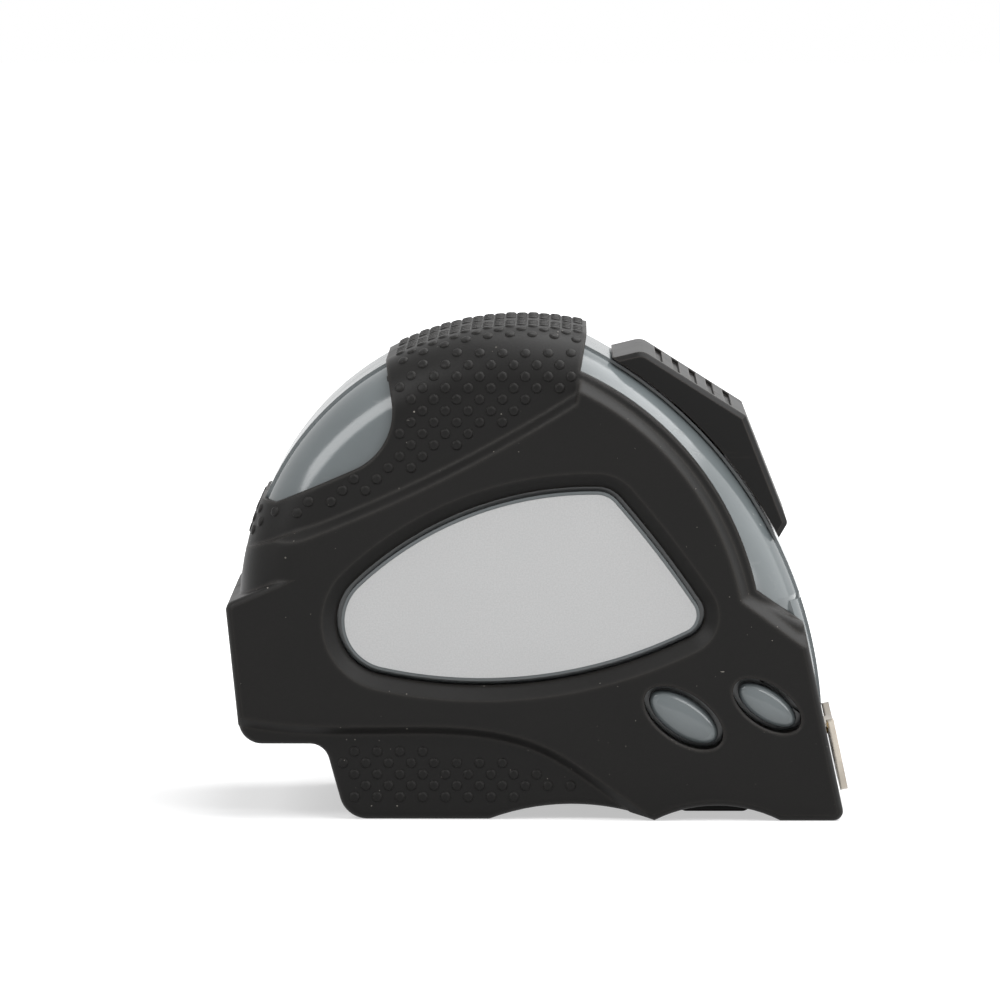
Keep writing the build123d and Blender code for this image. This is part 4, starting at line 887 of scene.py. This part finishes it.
@dataclass
class Shell:
    """The grey case halves, the domes of their bosses, the label and what is screwed to them."""

    bosses: tuple[tuple[Point, float, float], ...] = (((18.7, 13.2), 5.0, 2.35), ((29.3, 14.75), 4.2, 1.95))
    slant: float = -34.0
    boss_reach: float = 20.4
    boss_sides: int = 64
    skirt: float = 0.8
    cover: float = 0.03
    crown: float = 1.28
    rings: int = 12
    roundness: float = 2.4
    cross_share: float = 0.62
    cross_width: float = 0.5
    cross_film: float = 0.02
    head_span: float = 6.0

    def dome(self, shape: bmesh.types.BMesh, side: Side, centre: Point, halves: Point) -> None:
        """Add the lens-shaped crown of one oval boss.

        Args:
            shape: The shape that takes the crown.
            side: The side of the case that the boss is on.
            centre: The boss's centre in the side view, in millimetres.
            halves: Half of its length and half of its width, in millimetres.
        """
        height = SEAM_Y + side.value * (self.boss_reach - self.skirt) * MM
        place = Vector((centre[0] * MM, height, centre[1] * MM))
        turn = Matrix.Rotation(-math.radians(self.slant), 4, "Y") @ Matrix.Rotation(math.pi / 2, 4, "X")
        scale = Matrix.Diagonal(((halves[0] + self.cover) * MM, (halves[1] + self.cover) * MM, 1.0, 1.0))
        made = bmesh.ops.create_circle(
            shape, cap_ends=True, segments=self.boss_sides, radius=1.0,
            matrix=Matrix.Translation(place) @ turn @ scale,
        )
        top = list({face for vert in made["verts"] for face in vert.link_faces})
        if top[0].normal.y * side.value < 0:
            bmesh.ops.reverse_faces(shape, faces=top)
        before, shrunk = 0.0, 1.0
        for ring in range(1, self.rings + 1):
            lift = math.sin(0.5 * math.pi * ring / (self.rings + 1))
            share = (1.0 - lift ** self.roundness) ** (1 / self.roundness)
            top = bmesh.ops.extrude_discrete_faces(shape, faces=top)["faces"]
            verts = top[0].verts[:]
            factor = share / shrunk
            bmesh.ops.scale(shape, vec=(factor, 1.0, factor), space=Matrix.Translation(-place), verts=verts)
            rise = side.value * self.crown * (lift - before) * MM
            bmesh.ops.translate(shape, vec=(0.0, rise, 0.0), verts=verts)
            before, shrunk = lift, share

    def domes(self) -> bmesh.types.BMesh:
        """Build the crowns of the oval bosses on both sides.

        Returns:
            The crowns in one shape.
        """
        shape = bmesh.new()
        for side in Side:
            for centre, half_length, half_width in self.bosses:
                self.dome(shape, side, centre, (half_length, half_width))
        return shape

    def heads(self, node: str) -> list[list[Vector]]:
        """Find the rims of a node's screw heads.

        Args:
            node: The screws' solid.

        Returns:
            The points of each head's outer rim.
        """
        points = [vert.co.copy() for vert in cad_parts[node].data.vertices]
        top = max(point.y for point in points)
        rim = [point for point in points if top - point.y < self.cross_film * MM]
        found = []
        while rim:
            first = rim[0]
            found.append([point for point in rim if (point - first).length < self.head_span * MM])
            rim = [point for point in rim if (point - first).length >= self.head_span * MM]
        return found

    def crosses(self) -> bmesh.types.BMesh:
        """Paint the shade of the drive-cross recess on every screw head, as thin dark films.

        Returns:
            The crosses in one shape.
        """
        shape = bmesh.new()
        half = self.cross_width * MM / 2
        for rim in self.heads("case_screws") + self.heads("belt_clip_screw"):
            low = Vector([min(point[axis] for point in rim) for axis in range(3)])
            high = Vector([max(point[axis] for point in rim) for axis in range(3)])
            middle = (low + high) / 2
            reach = self.cross_share * max((point - middle).length for point in rim)
            outline = []
            for quarter in range(4):
                turn = Matrix.Rotation(quarter * math.pi / 2, 2)
                outline += [turn @ Vector(corner) for corner in ((reach, -half), (reach, half), (half, half))]
            # painted shade: a dark film just above the flat head, in place of the shade of a real cross
            # recess
            face = shape.faces.new(
                [shape.verts.new((middle.x + point.x, high.y, middle.z + point.y)) for point in outline]
            )
            made = bmesh.ops.extrude_face_region(shape, geom=[face])
            lifted = [item for item in made["geom"] if isinstance(item, bmesh.types.BMVert)]
            bmesh.ops.translate(shape, vec=(0.0, self.cross_film * MM, 0.0), verts=lifted)
        bmesh.ops.recalc_face_normals(shape, faces=shape.faces[:])
        return shape

    def build(self) -> None:
        """Dress the case, build its domes and paint the shade of its screw recesses."""
        dress("right_case_half", Palette.SHELL)
        dress("left_case_half", Palette.SHELL)
        dress("label_plate", Palette.FOIL)
        dress("mouth_guide", Palette.NYLON)
        dress("hook_bumper", Palette.PAD)
        dress("case_screws", Palette.ZINC)
        dress("belt_clip", Palette.ZINC)
        dress("belt_clip_screw", Palette.ZINC)
        dress("spring_arbor", Palette.ACETAL)
        make_piece(self.domes(), "boss_domes", Palette.SHELL, Body.CASE)
        make_piece(self.crosses(), "screw_cross_recess_shades", Palette.SOCKET, Body.CASE)


@dataclass
class Reel:
    """The wound blade, its drum and spring, the straight run and the end hook."""

    numbers: int = 3
    number_size: float = 5.6
    number_ahead: float = 2.0
    centimetre: float = 10.0
    ink: float = 0.012
    above: float = 30.0
    cuts: int = 2

    def figure(self, text: str) -> bpy.types.Mesh:
        """Make one printed number as a flat mesh on the plane Z = 0.

        Args:
            text: The number.

        Returns:
            The number's mesh, in metres, read along +X.
        """
        curve = bpy.data.curves.new("number_outline", "FONT")
        curve.body = text
        curve.align_x, curve.align_y = "CENTER", "CENTER"
        curve.size = self.number_size * MM
        holder = bpy.data.objects.new("number_outline", curve)
        bpy.context.scene.collection.objects.link(holder)
        mesh = bpy.data.meshes.new_from_object(holder.evaluated_get(bpy.context.evaluated_depsgraph_get()))
        bpy.data.objects.remove(holder)
        bpy.data.curves.remove(curve)
        return mesh

    def print_numbers(self) -> bmesh.types.BMesh:
        """Lay the centimetre numbers on the hollow of the blade.

        Returns:
            The numbers in one shape, as thin films that follow the blade.
        """
        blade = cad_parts["tape_blade"].data
        tree = BVHTree.FromPolygons([v.co for v in blade.vertices], [p.vertices for p in blade.polygons])
        print_finish = Palette.BLADE.value
        slope = math.radians(print_finish.rise_degrees)
        shape = bmesh.new()
        for number in range(1, self.numbers + 1):
            mesh = self.figure(str(number))
            start = len(shape.verts)
            shape.from_mesh(mesh)
            bpy.data.meshes.remove(mesh)
            shape.verts.ensure_lookup_table()
            along = print_finish.zero_x - (number * self.centimetre - self.number_ahead) * MM
            place = Matrix.Rotation(-slope, 4, "Y") @ Matrix.Translation((along, SEAM_Y, 0.0))
            turn = Matrix.Rotation(math.pi, 4, "Z")
            bmesh.ops.transform(shape, matrix=place @ turn, verts=shape.verts[start:])
        bmesh.ops.triangulate(shape, faces=shape.faces[:])
        bmesh.ops.subdivide_edges(shape, edges=shape.edges[:], cuts=self.cuts, use_grid_fill=True)
        for vert in shape.verts:
            start = Vector((vert.co.x, vert.co.y, self.above * MM))
            spot, normal, *_ = tree.ray_cast(start, Vector((0.0, 0.0, -1.0)))
            if spot is not None:
                vert.co = spot + normal * self.ink * MM
        bmesh.ops.recalc_face_normals(shape, faces=shape.faces[:])
        bmesh.ops.reverse_faces(shape, faces=[face for face in shape.faces if face.normal.z < 0])
        return shape

    def build(self) -> None:
        """Dress the reel, the blade and the hook, and print the blade."""
        dress("spool_drum", Palette.ACETAL)
        dress("spool_cover", Palette.ACETAL)
        dress("power_spring", Palette.BLUED)
        dress("tape_coil", Palette.BLADE)
        dress("tape_blade", Palette.BLADE)
        dress("hook_rivets", Palette.NICKEL)
        dress("end_hook", Palette.NICKEL)
        make_piece(self.print_numbers(), "blade_numbers", Palette.INK, Body.TAPE)


@dataclass
class Controls:
    """The thumb lock and the finger brake."""

    def build(self) -> None:
        """Dress the lock and the brake."""
        dress("lock_button", Palette.NYLON)
        dress("lock_brake_arm", Palette.ACETAL)
        dress("lock_brake_pad", Palette.PAD)
        dress("brake_lever", Palette.NYLON)
        dress("brake_pad", Palette.PAD)
        dress("brake_pivot_pin", Palette.ZINC)
        dress("brake_spring", Palette.BLUED)


@dataclass(frozen=True)
class Softbox:
    """One lamp: where it hangs and how big it is, in metres, its watts and its roll in degrees."""

    name: str
    place: Place
    size: Point
    power: float
    roll: float = 0.0


@dataclass
class Studio:
    """Camera, floor, light and the pale surroundings."""

    azimuth: float = 0.5
    elevation: float = 5.0
    distance: float = 1.0
    pixels_per_mm: float = 7.86
    anchor_pixel: Point = (536.5, 821.0)
    anchor: Place = (0.0, -23.9 * MM, 0.0)
    image: float = 1000.0
    target: Place = (0.0, 0.0, 0.03)
    shadow_reach: float = 0.09
    white_from: float = 0.27
    lift: float = 0.5
    below: float = 0.02 * MM
    floor_half: float = 3.0
    floor_colour: Colour = (0.55, 0.55, 0.55)
    floor_rough: float = 0.9
    fill: Colour = (0.97, 0.98, 1.0)
    fill_level: float = 0.24
    sensor: float = 36.0
    near: float = 0.01
    far: float = 20.0
    lamps: tuple[Softbox, ...] = (
        Softbox("overhead_softbox", (0.35, 0.05, 0.8), (1.1, 0.9), 11.0),
        Softbox("left_softbox", (-0.6, -0.44, 0.62), (0.75, 0.32), 4.6, 40.0),
        Softbox("right_softbox", (0.52, -0.62, 0.5), (0.75, 0.14), 2.2, -40.0),
        Softbox("side_softbox", (0.8, -0.05, 0.35), (1.1, 1.1), 5.0),
    )

    def camera(self) -> None:
        """Place the camera so that the anchor point falls on its pixel."""
        data = bpy.data.cameras.new("photo_camera")
        data.sensor_width = self.sensor
        focal = self.pixels_per_mm * self.distance / MM
        data.lens = data.sensor_width * focal / self.image
        data.clip_start, data.clip_end = self.near, self.far
        a, e = math.radians(self.azimuth), math.radians(self.elevation)
        right = Vector((math.cos(a), math.sin(a), 0.0))
        forward = Vector((-math.sin(a) * math.cos(e), math.cos(a) * math.cos(e), -math.sin(e)))
        up = right.cross(forward)
        half = self.image / 2
        across, down = self.anchor_pixel
        ray = forward + right * (across - half) / focal + up * (half - down) / focal
        camera = bpy.data.objects.new("photo_camera", data)
        camera.matrix_world = Matrix.Translation(Vector(self.anchor) - ray * self.distance) @ Matrix(
            (right, up, -forward)
        ).transposed().to_4x4()
        bpy.context.scene.collection.objects.link(camera)
        bpy.context.scene.camera = camera

    def hang(self, box: Softbox) -> None:
        """Hang one softbox that faces the object.

        Args:
            box: The softbox.
        """
        data = bpy.data.lights.new(box.name, "AREA")
        data.shape = "RECTANGLE"
        data.size, data.size_y = box.size
        data.energy = box.power
        lamp = bpy.data.objects.new(box.name, data)
        aim = (Vector(self.target) - Vector(box.place)).to_track_quat("-Z", "Y").to_matrix().to_4x4()
        roll = Matrix.Rotation(math.radians(box.roll), 4, "Z")
        lamp.matrix_world = Matrix.Translation(box.place) @ aim @ roll
        bpy.context.scene.collection.objects.link(lamp)

    def surroundings(self) -> None:
        """Light the scene softly and show white behind it."""
        world = bpy.data.worlds.new("studio")
        world.use_nodes = True
        graph = Graph(world.node_tree)
        world.node_tree.nodes.clear()
        path = graph.add("ShaderNodeLightPath")
        seen = graph.math("MAXIMUM", path.outputs["Is Camera Ray"], path.outputs["Is Glossy Ray"])
        seen = graph.math("MAXIMUM", seen, path.outputs["Is Transmission Ray"])
        fill = graph.add("ShaderNodeBackground")
        fill.inputs["Color"].default_value = (*self.fill, 1.0)
        fill.inputs["Strength"].default_value = self.fill_level
        shown = graph.add("ShaderNodeBackground")
        mix = graph.add("ShaderNodeMixShader")
        output = graph.add("ShaderNodeOutputWorld")
        shown.inputs["Color"].default_value = WHITE
        graph.join(seen, mix.inputs[0])
        graph.join(fill.outputs[0], mix.inputs[1])
        graph.join(shown.outputs[0], mix.inputs[2])
        graph.join(mix.outputs[0], output.inputs[0])
        bpy.context.scene.world = world

    def floor(self) -> None:
        """Lay a pale floor that shows white and keeps the shadow."""
        shape = bmesh.new()
        lowered = Matrix.Translation((0.0, 0.0, -self.below))
        bmesh.ops.create_grid(shape, x_segments=1, y_segments=1, size=self.floor_half, matrix=lowered)
        mesh = bpy.data.meshes.new("floor")
        shape.to_mesh(mesh)
        shape.free()
        floor = bpy.data.objects.new("floor", mesh)
        bpy.context.scene.collection.objects.link(floor)
        material = bpy.data.materials.new("floor_paper")
        material.use_nodes = True
        graph = Graph(material.node_tree)
        shader = material.node_tree.nodes["Principled BSDF"]
        shader.inputs["Base Color"].default_value = (*self.floor_colour, 1.0)
        shader.inputs["Roughness"].default_value = self.floor_rough
        shader.inputs["Specular IOR Level"].default_value = 0.0
        shader.inputs["Emission Color"].default_value = WHITE
        path = graph.add("ShaderNodeLightPath")
        seen = graph.math("MAXIMUM", path.outputs["Is Camera Ray"], path.outputs["Is Glossy Ray"])
        seen = graph.math("MAXIMUM", seen, path.outputs["Is Transmission Ray"])
        spread = graph.add("ShaderNodeVectorMath", operation="LENGTH")
        graph.join(graph.add("ShaderNodeTexCoord").outputs["Object"], spread.inputs[0])
        white = graph.span(spread.outputs["Value"], self.shadow_reach, self.white_from, self.lift, 1.0)
        graph.join(graph.math("MULTIPLY", seen, white), shader.inputs["Emission Strength"])
        mesh.materials.append(material)

    def build(self) -> None:
        """Set up everything round the object."""
        bpy.context.scene.view_settings.view_transform = "Standard"
        self.camera()
        self.floor()
        self.surroundings()
        for box in self.lamps:
            self.hang(box)


def main() -> None:
    """Build the tape measure and its surroundings."""
    logging.basicConfig(level=logging.INFO, format="%(message)s")
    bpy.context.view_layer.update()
    for assembly in (Jacket(), Shell(), Reel(), Controls(), Studio()):
        assembly.build()
        LOG.info("%s ready", type(assembly).__name__)


if __name__ == "__main__":
    main()
